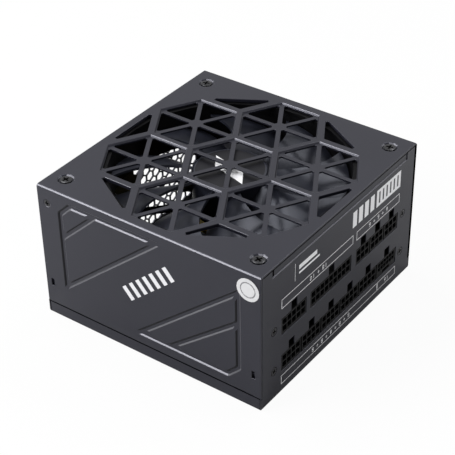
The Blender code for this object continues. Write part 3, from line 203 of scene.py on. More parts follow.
def softened(node, edge, segments=2, inner=None, split=False):
    """The mesh of a frame node with its doubles merged and its edges rounded.

    With an inner share the outside is rounded to the whole width and the rest to that share of it.
    With split, flat faces are cut into triangles first, so that none of them closes over a hole.
    """
    low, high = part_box(node)
    mesh = nodes[node].data.copy()
    mesh.transform(nodes[node].matrix_world)
    bm = bmesh.new()
    bm.from_mesh(mesh)
    bmesh.ops.remove_doubles(bm, verts=bm.verts, dist=MERGE_DISTANCE)
    bmesh.ops.dissolve_limit(bm, angle_limit=FLAT_TURN, verts=bm.verts, edges=bm.edges)
    if split:
        bmesh.ops.triangulate(bm, faces=bm.faces)
    outside = [(axis, corner[axis]) for corner in (low, high) for axis in range(3)]
    short = {corner for side in bm.edges if side.calc_length() < SHORT_EDGE * edge for corner in side.verts}
    weight = bm.edges.layers.float.new("bevel_weight_edge")
    for side in bm.edges:
        if side.calc_face_angle(0) > EDGE_TURN and not short.intersection(side.verts):
            seen = any(
                all(abs(corner.co[axis] - level) < BOX_DISTANCE for corner in side.verts)
                for axis, level in outside
            )
            side[weight] = 1.0 if seen else inner or 0.0
    bm.to_mesh(mesh)
    bm.free()
    mesh.shade_smooth()
    holder = linked("holder", mesh)
    step = holder.modifiers.new("edge", "BEVEL")
    step.width = edge
    step.segments = segments
    step.limit_method = "ANGLE" if inner is None else "WEIGHT"
    step.angle_limit = EDGE_TURN
    step.use_clamp_overlap = inner is None
    flat = holder.modifiers.new("flat", "WEIGHTED_NORMAL")
    flat.weight = FLAT_WEIGHT
    result = evaluated(holder)
    for corner in result.vertices:
        corner.co = [min(max(c, a), b) for a, c, b in zip(low, corner.co, high)]
    return result


def paint_light_on_faces(mesh, coat, low, high, facing, alike=SQUARE_ON):
    """Lay painted highlight or shade as a material on faces in a box that face a way closely enough."""
    if coat.name not in mesh.materials:
        mesh.materials.append(coat)
    number = mesh.materials.find(coat.name)
    for face in mesh.polygons:
        within = all(a < c < b for a, c, b in zip(low, face.center, high))
        if within and face.normal.dot(Vector(facing)) > alike:
            face.material_index = number


powder_coat = finish(
    "powder_coat",
    (0.0070, 0.0070, 0.0115),
    0.36,
    mottle=0.12,
    patch=0.06,
    grain=0.10,
    sheen=0.42,
    tint=(0.86, 0.875, 1.0),
)
# A brighter coat laid on edges that face the lamps: a painted highlight.
painted_highlight_coat = finish("painted_highlight_coat", (0.11, 0.11, 0.13), 0.42, metallic=0.30, mottle=0.12, patch=0.06)
base = softened("base_shell", edge=0.00020, inner=1.0)
placed("base_sheet", base, powder_coat, "case", ["base_shell"])
# Painted highlight on the up-facing edge of the drawn step below the cover.
strip_low = (case_low.x, case_low.y, STRIP_LOW)
strip_high = (case_high.x, case_low.y + STRIP_DEPTH, STRIP_HIGH)
paint_light_on_faces(base, painted_highlight_coat, strip_low, strip_high, FRONT_UP)


# Print on the end panel: thin white lines, plain pin counts and plain blocks, screened onto the
# coat after it is cured. It is upside down here, because the unit is mounted with its fan below.
INK_PROUD = 0.00002
INK_LINE = 0.0004
COUNT_HEIGHT = 0.0040
COUNT_SPACING = 1.3
HIGH_FRAMES = (0.0556, 0.0614)
LOW_FRAMES = (0.0056, 0.0114)
COUNTS = (
    ("18 + 10", 0.0180, 0.0855, *HIGH_FRAMES),
    ("6 + 6 + 6", 0.0890, 0.1338, *HIGH_FRAMES),
    ("8 + 8 + 8 + 8 + 8", 0.0180, 0.1140, *LOW_FRAMES),
    ("16", 0.1145, 0.1338, *LOW_FRAMES),
)
ROW_LOW, ROW_HIGH = 0.0657, 0.0766
RULE_LEFT, RULE_RIGHT = 0.0298, 0.0301
LINES_LEFT = 0.0335
LINES = ((0.0682, 0.0694, 0.0525), (0.0710, 0.0736, 0.0500))
BROAD_COUNT = 4
BROAD_LEFT = 0.0845
BROAD_PITCH = 0.0059
BROAD_WIDTH = 0.0040
BROAD_LOW, BROAD_HIGH = ROW_LOW + 0.0005, ROW_HIGH - 0.0004
BLOCK_LEFT, BLOCK_RIGHT = 0.1085, 0.1338
BLOCK_BORDER = 0.0018
BLOCK_BARS = 7
BLOCK_BAR = 0.0024
ON_PANEL = Matrix.Translation((0, case_low.y - INK_PROUD, 0)) @ Matrix.Rotation(math.pi / 2, 4, "X")


def ink_box(bm, left, bottom, right, top):
    """A filled box."""
    corners = ((left, bottom), (right, bottom), (right, top), (left, top))
    return bm.faces.new([bm.verts.new((u, v, 0)) for u, v in corners])


def ink_frame(bm, left, bottom, right, top):
    """Four thin lines round a box."""
    ink_box(bm, left, bottom, right, bottom + INK_LINE)
    ink_box(bm, left, top - INK_LINE, right, top)
    ink_box(bm, left, bottom + INK_LINE, left + INK_LINE, top - INK_LINE)
    ink_box(bm, right - INK_LINE, bottom + INK_LINE, right, top - INK_LINE)


def ink_count(bm, words, left, bottom, right, top):
    """Plain numbers, upside down, in the middle of a frame."""
    line = bpy.data.curves.new("count", "FONT")
    line.body = words
    line.size = COUNT_HEIGHT
    line.align_x, line.align_y = "CENTER", "CENTER"
    line.space_character = COUNT_SPACING
    mesh = evaluated(linked("count", line))
    middle = Vector(((left + right) / 2, (bottom + top) / 2, 0))
    mesh.transform(Matrix.Translation(middle) @ Matrix.Rotation(math.pi, 4, "Z"))
    bm.from_mesh(mesh)


def as_mesh(bm, name):
    """The mesh that was drawn, and an end to the drawing."""
    mesh = bpy.data.meshes.new(name)
    bm.to_mesh(mesh)
    bm.free()
    return mesh


ink_white = finish("white_ink", (0.84, 0.84, 0.86), 0.55, mottle=0.03)
bm = bmesh.new()
left_edge = case_low.x
for words, left, right, bottom, top in COUNTS:
    span = (left_edge + left, bottom, left_edge + right, top)
    ink_frame(bm, *span)
    ink_count(bm, words, *span)
ink_box(bm, left_edge + RULE_LEFT, ROW_LOW, left_edge + RULE_RIGHT, ROW_HIGH)
for low, high, right in LINES:
    ink_box(bm, left_edge + LINES_LEFT, low, left_edge + right, high)
for bar in range(BROAD_COUNT):
    start = left_edge + BROAD_LEFT + bar * BROAD_PITCH
    ink_box(bm, start, BROAD_LOW, start + BROAD_WIDTH, BROAD_HIGH)
for low, high in ((ROW_LOW, ROW_LOW + BLOCK_BORDER), (ROW_HIGH - BLOCK_BORDER, ROW_HIGH)):
    ink_box(bm, left_edge + BLOCK_LEFT, low, left_edge + BLOCK_RIGHT, high)
for bar in range(BLOCK_BARS):
    start = left_edge + BLOCK_LEFT + (BLOCK_RIGHT - BLOCK_LEFT - BLOCK_BAR) * bar / (BLOCK_BARS - 1)
    ink_box(bm, start, ROW_LOW + BLOCK_BORDER, start + BLOCK_BAR, ROW_HIGH - BLOCK_BORDER)
mesh = as_mesh(bm, "panel_print")
mesh.transform(ON_PANEL)
placed("panel_print", mesh, ink_white, "case")


# Cover: the grille and both side walls, folded from one sheet. The hexagons, the screw dimples
# and the grooves of the walls are pressed over a small radius. Painted highlights lie on the drawn
# edges and on the lit slopes of the grooves, and painted shade on their other slopes. Black strips
# of painted shade stand in the gaps where the cover meets the base.
cover_low, cover_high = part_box("top_cover")
RIM_DEPTH = 0.0012
RIM_INSET = 0.004
LEFT_UP = (-0.707, 0, 0.707)
RIM_ALIKE = 0.955
FIELD_INSET = 0.006
SHADED_SLOPE = (-0.8, -0.42, -0.42)
SHADED_ALIKE = 0.84
LIT_SLOPE = (-0.75, 0.56, 0.34)
SEAM_SHADE_WIDTH = 0.0021
SEAM_SHADE_HEIGHT = 0.0006
WALL_SEAM_SHADE = 0.0007
SLOT_LEFT, SLOT_WIDTH, SLOT_DEPTH = 0.0101, 0.0018, 0.00046
SLOT_RISE = 0.0010


def on_left_wall(along, height):
    """A place flat on the left wall, with its width to the front and its height upwards."""
    proud = cover_low.x - INK_PROUD
    return Matrix(((0, 0, -1, proud), (-1, 0, 0, along), (0, 1, 0, height), (0, 0, 0, 1)))


# Near-black coat for the groove slopes that face away from the lamps: painted shade.
painted_shade_coat = finish("painted_shade_coat", (0.005, 0.005, 0.007), 0.5, mottle=0.12, patch=0.06, sheen=0.20)
# Brighter coat for the groove slopes that face the lamps: painted highlight.
painted_soft_highlight_coat = finish("painted_soft_highlight_coat", (0.045, 0.045, 0.054), 0.40, metallic=0.15, mottle=0.12, patch=0.06)
# Flat black with no gloss, laid where gaps and recesses are in shade: painted shade.
painted_shade_black = finish("painted_shade_black", (0.002, 0.002, 0.002), 0.7, sheen=0.0)
cover = softened("top_cover", edge=0.00035, segments=3, inner=0.1)
placed("cover_sheet", cover, powder_coat, "case", ["top_cover"])
# Painted highlights on the hexagon rims and on the edges of the left wall that face the lamps.
rim_low = (cover_low.x + RIM_INSET, cover_low.y, cover_high.z - RIM_DEPTH)
rim_high = (cover_high.x - RIM_INSET, cover_high.y, cover_high.z)
paint_light_on_faces(cover, painted_highlight_coat, rim_low, rim_high, LEFT_UP, RIM_ALIKE)
wall_high = (cover_low.x + RIM_INSET, cover_high.y, cover_high.z)
paint_light_on_faces(cover, painted_highlight_coat, cover_low, wall_high, LEFT_UP)
fields_low = (cover_low.x, cover_low.y + FIELD_INSET, cover_low.z + FIELD_INSET)
fields_high = (cover_low.x + RIM_INSET, cover_high.y - FIELD_INSET, cover_high.z - FIELD_INSET)
# Painted shade on the groove slopes that face away from the lamps, painted highlight on those facing them.
paint_light_on_faces(cover, painted_shade_coat, fields_low, fields_high, SHADED_SLOPE, SHADED_ALIKE)
paint_light_on_faces(cover, painted_soft_highlight_coat, fields_low, fields_high, LIT_SLOPE)
# Black strips of painted shade: down the right wall's front edge, along the cover's front edge and in the
# notch at the left end of the drawn step.
bm = bmesh.new()
seam_shade_top = case_high.z + SEAM_SHADE_HEIGHT / 2
ink_box(bm, cover_high.x - SEAM_SHADE_WIDTH, cover_low.z, cover_high.x, seam_shade_top)
ink_box(bm, cover_low.x + SEAM_SHADE_WIDTH, seam_shade_top - SEAM_SHADE_HEIGHT, cover_high.x - SEAM_SHADE_WIDTH, seam_shade_top)
slot_left = cover_low.x + SLOT_LEFT
slot = ink_box(bm, slot_left, STRIP_LOW + SLOT_RISE, slot_left + SLOT_WIDTH, case_high.z)
for corner in slot.verts:
    corner.co.z -= SLOT_DEPTH
mesh = as_mesh(bm, "painted_seam_shade")
mesh.transform(ON_PANEL)
placed("painted_seam_shade", mesh, painted_shade_black, "case")
# A black strip of painted shade in the gap between the left wall and the base.
bm = bmesh.new()
seam_shade_low, seam_shade_high = cover_low.z - WALL_SEAM_SHADE / 2, cover_low.z + WALL_SEAM_SHADE / 2
ink_box(bm, -cover_high.y, seam_shade_low, -cover_low.y - WALL_SEAM_SHADE, seam_shade_high)
mesh = as_mesh(bm, "painted_wall_seam_shade")
mesh.transform(on_left_wall(0, 0))
placed("painted_wall_seam_shade", mesh, painted_shade_black, "case")


# Print on the long wall: plain bars of pale ink, screened onto the cured coat. They are raked
# along the fields that are pressed into the wall.
RAKE = math.radians(41)
BAR_COUNT = 7
BAR_PITCH = 0.0061
BAR_WIDTH = 0.0030
BAR_HEIGHT = 0.0090
BARS_Y = -0.0012
BARS_Z = 0.0515
bm = bmesh.new()
for bar in range(BAR_COUNT):
    middle = (bar - (BAR_COUNT - 1) / 2) * BAR_PITCH
    ink_box(bm, middle - BAR_WIDTH / 2, -BAR_HEIGHT / 2, middle + BAR_WIDTH / 2, BAR_HEIGHT / 2)
mesh = as_mesh(bm, "wall_print")
mesh.transform(on_left_wall(BARS_Y, BARS_Z) @ Matrix.Rotation(RAKE, 4, "Z"))
ink_grey = finish("wall_ink", (0.58, 0.58, 0.60), 0.55, mottle=0.03)
placed("wall_print", mesh, ink_grey, "case")


# Screws: black-finished steel with a cross recess. Countersunk heads lie flush in the walls and
# in the end panel, and pan heads sit in the dimples of the grille and hold the fan. The recesses
# and the countersinks of the panel are painted black, as painted shade.
CROSS_SHARE = 0.62
CROSS_WIDTH_SHARE = 0.17
CROSS_DEPTH = 0.0011
CROWN_SHARE = 0.82
UPWARD = 0.99
HEAD_SIDES = 32
SCREW_SEED = 4
RANDOM_LOW, RANDOM_HIGH, RANDOM_RESULT = 2, 3, 1
RECESS_SKIN = 0.0002
ROUND_HEAD = Vector((0.0008, -0.00005, 0.0008))
SINK_SLOPE = 0.3


def new_tree(name, sizes):
    """An empty geometry tree with its named inputs; gives the tree and a signal for each input."""
    tree = bpy.data.node_groups.new(name, "GeometryNodeTree")
    tree.interface.new_socket("Geometry", in_out="INPUT", socket_type="NodeSocketGeometry")
    tree.interface.new_socket("Geometry", in_out="OUTPUT", socket_type="NodeSocketGeometry")
    kinds = {int: "NodeSocketInt", float: "NodeSocketFloat", bpy.types.Material: "NodeSocketMaterial"}
    for label, value in sizes.items():
        tree.interface.new_socket(label, in_out="INPUT", socket_type=kinds[type(value)])
    entry = tree.nodes.new("NodeGroupInput")
    return tree, {socket.name: Signal(tree, socket) for socket in entry.outputs if socket.name}


def close_tree(tree, shape, material):
    """End a tree in real, coloured geometry."""
    real = Signal.make(tree, "GeometryNodeRealizeInstances", inputs={0: shape})
    coloured = Signal.make(tree, "GeometryNodeSetMaterial", inputs={"Geometry": real, "Material": material})
    exit_node = tree.nodes.new("NodeGroupOutput")
    tree.links.new(coloured.socket, exit_node.inputs[0])


def grown(tree, sizes, seed):
    """Run a tree on a seed mesh and give the result as a plain mesh."""
    holder = linked("holder", seed)
    step = holder.modifiers.new(tree.name, "NODES")
    step.node_group = tree
    for item in tree.interface.items_tree:
        if item.in_out == "INPUT" and item.name in sizes:
            step[item.identifier] = sizes[item.name]
    return evaluated(holder)


def vector(tree, x=0.0, y=0.0, z=0.0):
    """Three numbers as one vector."""
    return Signal.make(tree, "ShaderNodeCombineXYZ", inputs={"X": x, "Y": y, "Z": z})


def cone_top(tree):
    """The face of a fresh cone that looks straight up."""
    normal = Signal.make(tree, "GeometryNodeInputNormal")
    height = Signal.make(tree, "ShaderNodeSeparateXYZ", inputs={0: normal}, output="Z")
    return height > UPWARD


def screw_tree(sizes):
    """A head with a cross recess and a shank below it, set on every point along its facing."""
    tree, given = new_tree("cross_screws", sizes)
    head, shank = given["Head Radius"], given["Shank Radius"]
    cone = Signal.make(
        tree,
        "GeometryNodeMeshCone",
        inputs={
            "Vertices": HEAD_SIDES,
            "Radius Top": head,
            "Radius Bottom": given["Foot Radius"],
            "Depth": given["Head Height"],
        },
    )
    lowered = vector(tree, z=0 - given["Head Height"])
    cone = Signal.make(tree, "GeometryNodeTransform", inputs={"Geometry": cone, "Translation": lowered})
    crown = Signal.make(
        tree,
        "GeometryNodeExtrudeMesh",
        inputs={"Mesh": cone, "Selection": cone_top(tree), "Offset Scale": given["Crown Height"]},
    )
    crowned = Signal.make(
        tree,
        "GeometryNodeScaleElements",
        inputs={"Geometry": crown, "Selection": crown.beside("Top"), "Scale": CROWN_SHARE},
    )
    length, width = head * (2 * CROSS_SHARE), head * (2 * CROSS_WIDTH_SHARE)
    arms = []
    for along, across in ((length, width), (width, length)):
        size = vector(tree, along, across, 2 * CROSS_DEPTH)
        arms.append(Signal.make(tree, "GeometryNodeMeshCube", inputs={"Size": size}))
    cut = Signal.make(
        tree,
        "GeometryNodeMeshBoolean",
        {"operation": "DIFFERENCE", "solver": "EXACT"},
        {"Mesh 1": crowned, "Mesh 2": arms},
    )
    stem = Signal.make(
        tree,
        "GeometryNodeMeshCylinder",
        inputs={"Vertices": HEAD_SIDES // 2, "Radius": shank, "Depth": given["Shank Length"]},
    )
    drop = vector(tree, z=0 - given["Head Height"] - given["Shank Length"] * 0.5)
    stem = Signal.make(tree, "GeometryNodeTransform", inputs={"Geometry": stem, "Translation": drop})
    whole = Signal.make(tree, "GeometryNodeJoinGeometry", inputs={0: [cut, stem]})
    facing = Signal.make(
        tree, "GeometryNodeInputNamedAttribute", {"data_type": "FLOAT_VECTOR"}, {"Name": "facing"}
    )
    upright = Signal.make(tree, "FunctionNodeAlignRotationToVector", inputs={"Vector": facing})
    turn = Signal.make(
        tree,
        "FunctionNodeRandomValue",
        {"data_type": "FLOAT"},
        {RANDOM_LOW: 0.0, RANDOM_HIGH: math.pi / 2, "Seed": given["Seed"]},
        RANDOM_RESULT,
    )
    turned = Signal.make(
        tree,
        "FunctionNodeRotateRotation",
        {"rotation_space": "LOCAL"},
        {"Rotation": upright, "Rotate By": vector(tree, z=turn)},
    )
    set_in = Signal.make(
        tree,
        "GeometryNodeInstanceOnPoints",
        inputs={"Points": given["Geometry"], "Instance": whole, "Rotation": turned},
    )
    close_tree(tree, set_in, given["Material"])
    return tree


def screw_seats(names, facing_of):
    """Points on the outer ends of the frame's screws, each with the way that it faces."""
    seats, ways = [], []
    for name in names:
        low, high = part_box(name)
        middle, half = (low + high) / 2, (high - low) / 2
        way = Vector(facing_of(middle))
        seats.append(middle + Vector([w * h for w, h in zip(way, half)]))
        ways.append(way)
    mesh = bpy.data.meshes.new("screw_seats")
    mesh.from_pydata(seats, [], [])
    facing = mesh.attributes.new("facing", "FLOAT_VECTOR", "POINT")
    facing.data.foreach_set("vector", [value for way in ways for value in way])
    return mesh


black_steel = finish(
    "black_screw_finish",
    (0.0050, 0.0050, 0.0056),
    0.30,
    mottle=0.3,
    patch=0.002,
    sheen=0.40,
    tint=(0.93, 0.94, 1.0),
)
tree = None
for group, head, foot, shank, head_height, crown, facing_of in (
    ("cover_screw", 0.0021, 0.0013, 0.0013, 0.0008, 0.00006, lambda p: (math.copysign(1, p.x), 0, 0)),
    ("panel_screw", 0.0023, 0.0014, 0.0014, 0.0008, 0.00014, lambda p: (0, -1, 0)),
    ("fan_screw", 0.0033, 0.0033, 0.0018, 0.0003, 0.00022, lambda p: (0, 0, 1)),
):
    names = [f"{group}_{number}" for number in range(1, 5)]
    low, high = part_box(names[0])
    sizes = {
        "Head Radius": head,
        "Foot Radius": foot,
        "Shank Radius": shank,
        "Head Height": head_height,
        "Crown Height": crown,
        "Shank Length": max(high - low) - head_height,
        "Seed": SCREW_SEED,
        "Material": black_steel,
    }
    tree = tree or screw_tree(sizes)
    mesh = grown(tree, sizes, screw_seats(names, facing_of))
    placed(f"{group}s", mesh, black_steel, "case", names)
    for name in names:
        low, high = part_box(name)
        way = Vector(facing_of((low + high) / 2))
        # Painted shade on the recess floors of each head, and round the countersunk heads of the panel.
        paint_light_on_faces(mesh, painted_shade_black, low - way * RECESS_SKIN, high - way * RECESS_SKIN, way)
        if group == "panel_screw":
            paint_light_on_faces(base, painted_shade_black, low - ROUND_HEAD, high + ROUND_HEAD, way, SINK_SLOPE)


# Seal: a round of matt white paper stuck over the screw nearest the sockets, with a plain grey
# ring printed round its middle.
SEAL_RING = 0.0040
SEAL_RING_WIDTH = 0.0007
SEAL_GREY = (0.10, 0.10, 0.11, 1.0)
SEAL_INK = 1.6
SEAL_SPECKS = 1800.0


def tinted(material, share, colour, blend="MIX"):
    """Lay another colour over a finish, by a share that changes over the surface."""
    tree = material.node_tree
    tone = tree.nodes["Principled BSDF"].inputs["Base Color"]
    under = Signal(tree, tone.links[0].from_socket)
    tree.links.new(share.mixed(under, colour, blend).socket, tone)


seal_low, seal_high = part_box("screw_seal")
seal_middle = (seal_low + seal_high) / 2
seal_paper = finish("seal_paper", (0.52, 0.52, 0.53), 0.7, mottle=0.06, patch=0.003, grain=0.2, sheen=0.2)
tree = seal_paper.node_tree
place = Signal.make(tree, "ShaderNodeTexCoord", output="Object")
reach = Signal.make(
    tree, "ShaderNodeVectorMath", {"operation": "DISTANCE"}, {0: place, 1: seal_middle}, output="Value"
)
ring = (reach > SEAL_RING) * (1 - (reach > SEAL_RING + SEAL_RING_WIDTH))
speck = Signal.make(tree, "ShaderNodeTexNoise", inputs={"Vector": place, "Scale": SEAL_SPECKS})
tinted(seal_paper, ring * speck * SEAL_INK, SEAL_GREY)
seal = softened("screw_seal", edge=0.00004, segments=1)
placed("seal", seal, seal_paper, "case", ["screw_seal"])


# Fan rotor: hub cup and nine swept blades, moulded in one shot from dark satin plastic. The cup
# is pressed onto the shaft, and a dark round label and a plain white strip are stuck on its face.
HUB_RADIUS = 0.0210
HUB_WALL = 0.0015
HUB_HEIGHT = 0.0170
HUB_EDGE = 0.0014
HUB_EDGE_STEPS = 4
HUB_FLAT = 0.001
DISH_RADIUS, DISH_RIM, DISH_DEPTH = 0.0080, 0.0084, 0.0002
BLADE_COUNT = 9
BLADE_ALONG, BLADE_OUT = 21, 17
TIP_GAP = 0.0002
SPIN_SIDES = 96
LABEL_RADIUS = 0.0190
LABEL_THICKNESS = 0.00004
rotor_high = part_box("fan_rotor")[1]
hub_top = rotor_high.z
label_top = hub_top + LABEL_THICKNESS
HUB_STRIP_LONG = Vector((0.0060, 0.0223, 0))
HUB_STRIP_SHORT = Vector((0.0091, 0.0058, 0))
HUB_STRIP_MIDDLE = Vector((-0.0010, 0, label_top + INK_PROUD))
FOUR_CORNERS = ((-1, -1), (1, -1), (1, 1), (-1, 1))


def hub_cup():
    """The cup turned from its profile, open below."""
    shoulder, inner = HUB_RADIUS - HUB_EDGE, HUB_RADIUS - HUB_WALL
    floor, mouth = hub_top - HUB_WALL, hub_top - HUB_HEIGHT
    dish = hub_top - DISH_DEPTH
    profile = [(0.0, dish), (DISH_RADIUS, dish), (DISH_RIM, hub_top), (shoulder - HUB_FLAT, hub_top)]
    for step in range(HUB_EDGE_STEPS + 1):
        turn = math.pi / 2 * step / HUB_EDGE_STEPS
        radius = shoulder + HUB_EDGE * math.sin(turn)
        profile.append((radius, hub_top - HUB_EDGE + HUB_EDGE * math.cos(turn)))
    profile += [(HUB_RADIUS, mouth), (inner, mouth), (inner, floor), (0.0, floor)]
    bm = bmesh.new()
    points = [bm.verts.new((radius, 0, height)) for radius, height in profile]
    edges = [bm.edges.new(pair) for pair in zip(points, points[1:])]
    bmesh.ops.spin(bm, geom=points + edges, axis=(0, 0, 1), angle=math.tau, steps=SPIN_SIDES)
    bmesh.ops.remove_doubles(bm, verts=bm.verts, dist=MERGE_DISTANCE)
    bmesh.ops.recalc_face_normals(bm, faces=bm.faces)
    return as_mesh(bm, "hub_cup")


def blade_tree(sizes):
    """One blade bent from a grid, thickened, and repeated round the cup that comes in."""
    tree, given = new_tree("swept_blades", sizes)
    sheet = Signal.make(
        tree,
        "GeometryNodeMeshGrid",
        inputs={"Size X": 1.0, "Size Y": 1.0, "Vertices X": BLADE_ALONG, "Vertices Y": BLADE_OUT},
    )
    here = Signal.make(tree, "GeometryNodeInputPosition")
    along = Signal.make(tree, "ShaderNodeSeparateXYZ", inputs={0: here}, output="X")
    out = along.beside("Y") + 0.5
    radius = given["Root Radius"] + (given["Tip Radius"] - given["Root Radius"]) * out
    angle = given["Turn"] + given["Sweep"] * out * out + given["Span"] * along
    rise = given["Root Rise"] + (given["Tip Rise"] - given["Root Rise"]) * out
    height = given["Middle Height"] + rise * along + given["Camber"] * (1 - 4 * along * along)
    bent = vector(
        tree,
        radius * angle.math("COSINE", angle),
        radius * angle.math("SINE", angle),
        height - given["Thickness"] * 0.5,
    )
    skin = Signal.make(tree, "GeometryNodeSetPosition", inputs={"Geometry": sheet, "Position": bent})
    upper = Signal.make(
        tree,
        "GeometryNodeExtrudeMesh",
        inputs={"Mesh": skin, "Offset Scale": given["Thickness"], "Individual": False},
    )
    under = Signal.make(tree, "GeometryNodeFlipFaces", inputs={"Mesh": skin})
    closed = Signal.make(tree, "GeometryNodeJoinGeometry", inputs={0: [upper, under]})
    closed = Signal.make(
        tree, "GeometryNodeMergeByDistance", inputs={"Geometry": closed, "Distance": MERGE_DISTANCE}
    )
    ring = Signal.make(tree, "GeometryNodePoints", inputs={"Count": given["Count"]})
    order = Signal.make(tree, "GeometryNodeInputIndex")
    step = vector(tree, z=order * (math.tau / BLADE_COUNT))
    blades = Signal.make(
        tree,
        "GeometryNodeInstanceOnPoints",
        inputs={"Points": ring, "Instance": closed, "Rotation": step},
    )
    whole = Signal.make(tree, "GeometryNodeJoinGeometry", inputs={0: [blades, given["Geometry"]]})
    close_tree(tree, whole, given["Material"])
    return tree


def one_face(name, corners):
    """A mesh of a single flat face."""
    mesh = bpy.data.meshes.new(name)
    mesh.from_pydata(corners, [], [tuple(range(len(corners)))])
    return mesh


fan_plastic = finish(
    "fan_plastic",
    (0.010, 0.011, 0.017),
    0.40,
    mottle=0.1,
    patch=0.03,
    grain=0.03,
    sheen=0.42,
    tint=(0.85, 0.88, 1.0),
)
sizes = {
    "Count": BLADE_COUNT,
    "Root Radius": HUB_RADIUS - HUB_WALL / 2,
    "Tip Radius": rotor_high.x - TIP_GAP,
    "Turn": math.radians(12),
    "Sweep": math.radians(16),
    "Span": math.radians(36),
    "Root Rise": 0.0145,
    "Tip Rise": 0.0105,
    "Middle Height": hub_top - HUB_HEIGHT / 2,
    "Camber": 0.0016,
    "Thickness": 0.0014,
    "Material": fan_plastic,
}
mesh = grown(blade_tree(sizes), sizes, hub_cup())
placed("rotor", mesh, fan_plastic, "fan", ["fan_rotor"])
label = finish(
    "hub_label",
    (0.0043, 0.0043, 0.0056),
    0.42,
    mottle=0.1,
    patch=0.01,
    sheen=0.22,
    tint=(0.91, 0.91, 1.0),
)
turns = [math.tau * k / SPIN_SIDES for k in range(SPIN_SIDES)]
rim = [(LABEL_RADIUS * math.cos(turn), LABEL_RADIUS * math.sin(turn), label_top) for turn in turns]
placed("hub_label", one_face("hub_label", rim), label, "fan")
corners = [HUB_STRIP_MIDDLE + (u * HUB_STRIP_SHORT + v * HUB_STRIP_LONG) / 2 for u, v in FOUR_CORNERS]
placed("hub_strip", one_face("hub_strip", corners), ink_white, "fan")


# Fan frame: a square moulding with a round duct, struts, motor seat and bearing tube. The shaft
# turns in a sintered bush, inside a stator wound with copper.
WAVE_LENGTH = math.tau / 20
WAVE_WANDER = 0.6
WAVE_DETAIL = 3.0
BAND_SHADE = (0.25, 0.22, 0.2, 1.0)


def dressed(names, material):
    """Give frame nodes that keep their shape a better material."""
    for name in names:
        nodes[name].data.materials.clear()
        nodes[name].data.materials.append(material)


def banded(material, pitch, axis, depth):
    """Darken a finish in even bands, as wound wire or tape shows its turns."""
    tree = material.node_tree
    place = Signal.make(tree, "ShaderNodeTexCoord", output="Object")
    bands = Signal.make(
        tree,
        "ShaderNodeTexWave",
        {"bands_direction": axis},
        {
            "Vector": place,
            "Scale": WAVE_LENGTH / pitch,
            "Distortion": WAVE_WANDER,
            "Detail Scale": WAVE_DETAIL,
        },
        output="Fac",
    )
    tinted(material, (1 - bands) * depth, BAND_SHADE, "MULTIPLY")


duct_plastic = finish("duct_plastic", (0.003, 0.003, 0.0035), 0.5, mottle=0.15, grain=0.06, sheen=0.06)
bright_steel = finish("bright_steel", (0.58, 0.58, 0.60), 0.28, metallic=1.0, mottle=0.08, patch=0.004)
bronze = finish("sintered_bronze", (0.52, 0.33, 0.18), 0.42, metallic=1.0, grain=0.3)
copper = finish("enamelled_copper", (0.46, 0.18, 0.07), 0.32, metallic=0.8)
banded(copper, pitch=0.0006, axis="Z", depth=0.8)
placed("duct", softened("fan_frame", edge=0.0004), duct_plastic, "case", ["fan_frame"])
dressed(["fan_shaft"], bright_steel)
dressed(["fan_bearing"], bronze)
dressed(["fan_stator"], copper)


# Cable sockets: black glass-filled nylon headers with two rows of blind cells and a latch ramp.
# Each cell holds a tin-plated pin, soldered to the board behind.
PIN_THICKNESS = 0.0010
PIN_SHORT = 0.0042
PIN_PITCH = 0.0042
FINE_PITCH = 0.0030
FINE_RAISED = 0.0012
CELL_DEPTH = 0.0085
CELLS_MIDDLE = 0.0051
CELL_ROWS = 2


def pin_tree(sizes):
    """A pin in every cell of a socket: rows and columns of plain bars behind the seed point."""
    tree, given = new_tree("socket_pins", sizes)
    wide = (given["Columns"] - 1) * given["Pitch"]
    cells = Signal.make(
        tree,
        "GeometryNodeMeshGrid",
        inputs={
            "Size X": wide,
            "Size Y": given["Pitch"],
            "Vertices X": given["Columns"],
            "Vertices Y": CELL_ROWS,
        },
    )
    cells = Signal.make(
        tree, "GeometryNodeTransform", inputs={"Geometry": cells, "Rotation": (math.pi / 2, 0, 0)}
    )
    long = vector(tree, given["Thickness"], given["Length"], given["Thickness"])
    pin = Signal.make(tree, "GeometryNodeMeshCube", inputs={"Size": long})
    rows = Signal.make(tree, "GeometryNodeInstanceOnPoints", inputs={"Points": cells, "Instance": pin})
    rows = Signal.make(
        tree, "GeometryNodeInstanceOnPoints", inputs={"Points": given["Geometry"], "Instance": rows}
    )
    close_tree(tree, rows, given["Material"])
    return tree


nylon = finish(
    "black_nylon",
    (0.0030, 0.0030, 0.0034),
    0.45,
    mottle=0.15,
    patch=0.006,
    grain=0.06,
    sheen=0.12,
)
tin = finish("tinned_pin", (0.36, 0.36, 0.37), 0.35, metallic=1.0, mottle=0.1, patch=0.002)
tree = None
pins = bmesh.new()
length = CELL_DEPTH - PIN_SHORT
for name, columns, pitch, raised in (
    ("socket_10pin", 5, PIN_PITCH, 0.0),
    ("socket_18pin", 9, PIN_PITCH, 0.0),
    *[(f"socket_6pin_{n}", 3, PIN_PITCH, 0.0) for n in range(1, 4)],
    *[(f"socket_8pin_{n}", 4, PIN_PITCH, 0.0) for n in range(1, 6)],
    ("socket_16pin", 6, FINE_PITCH, FINE_RAISED),
):
    header = softened(name, edge=0.00012, segments=1, split=True)
    placed(f"{name}_header", header, nylon, "case", [name])
    low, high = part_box(name)
    seat = ((low.x + high.x) / 2, low.y + CELL_DEPTH - length / 2, low.z + CELLS_MIDDLE + raised)
    seed = bpy.data.meshes.new("socket_seed")
    seed.from_pydata([seat], [], [])
    sizes = {
        "Columns": columns,
        "Pitch": pitch,
        "Thickness": PIN_THICKNESS,
        "Length": length,
        "Material": tin,
    }
    tree = tree or pin_tree(sizes)
    pins.from_mesh(grown(tree, sizes, seed))
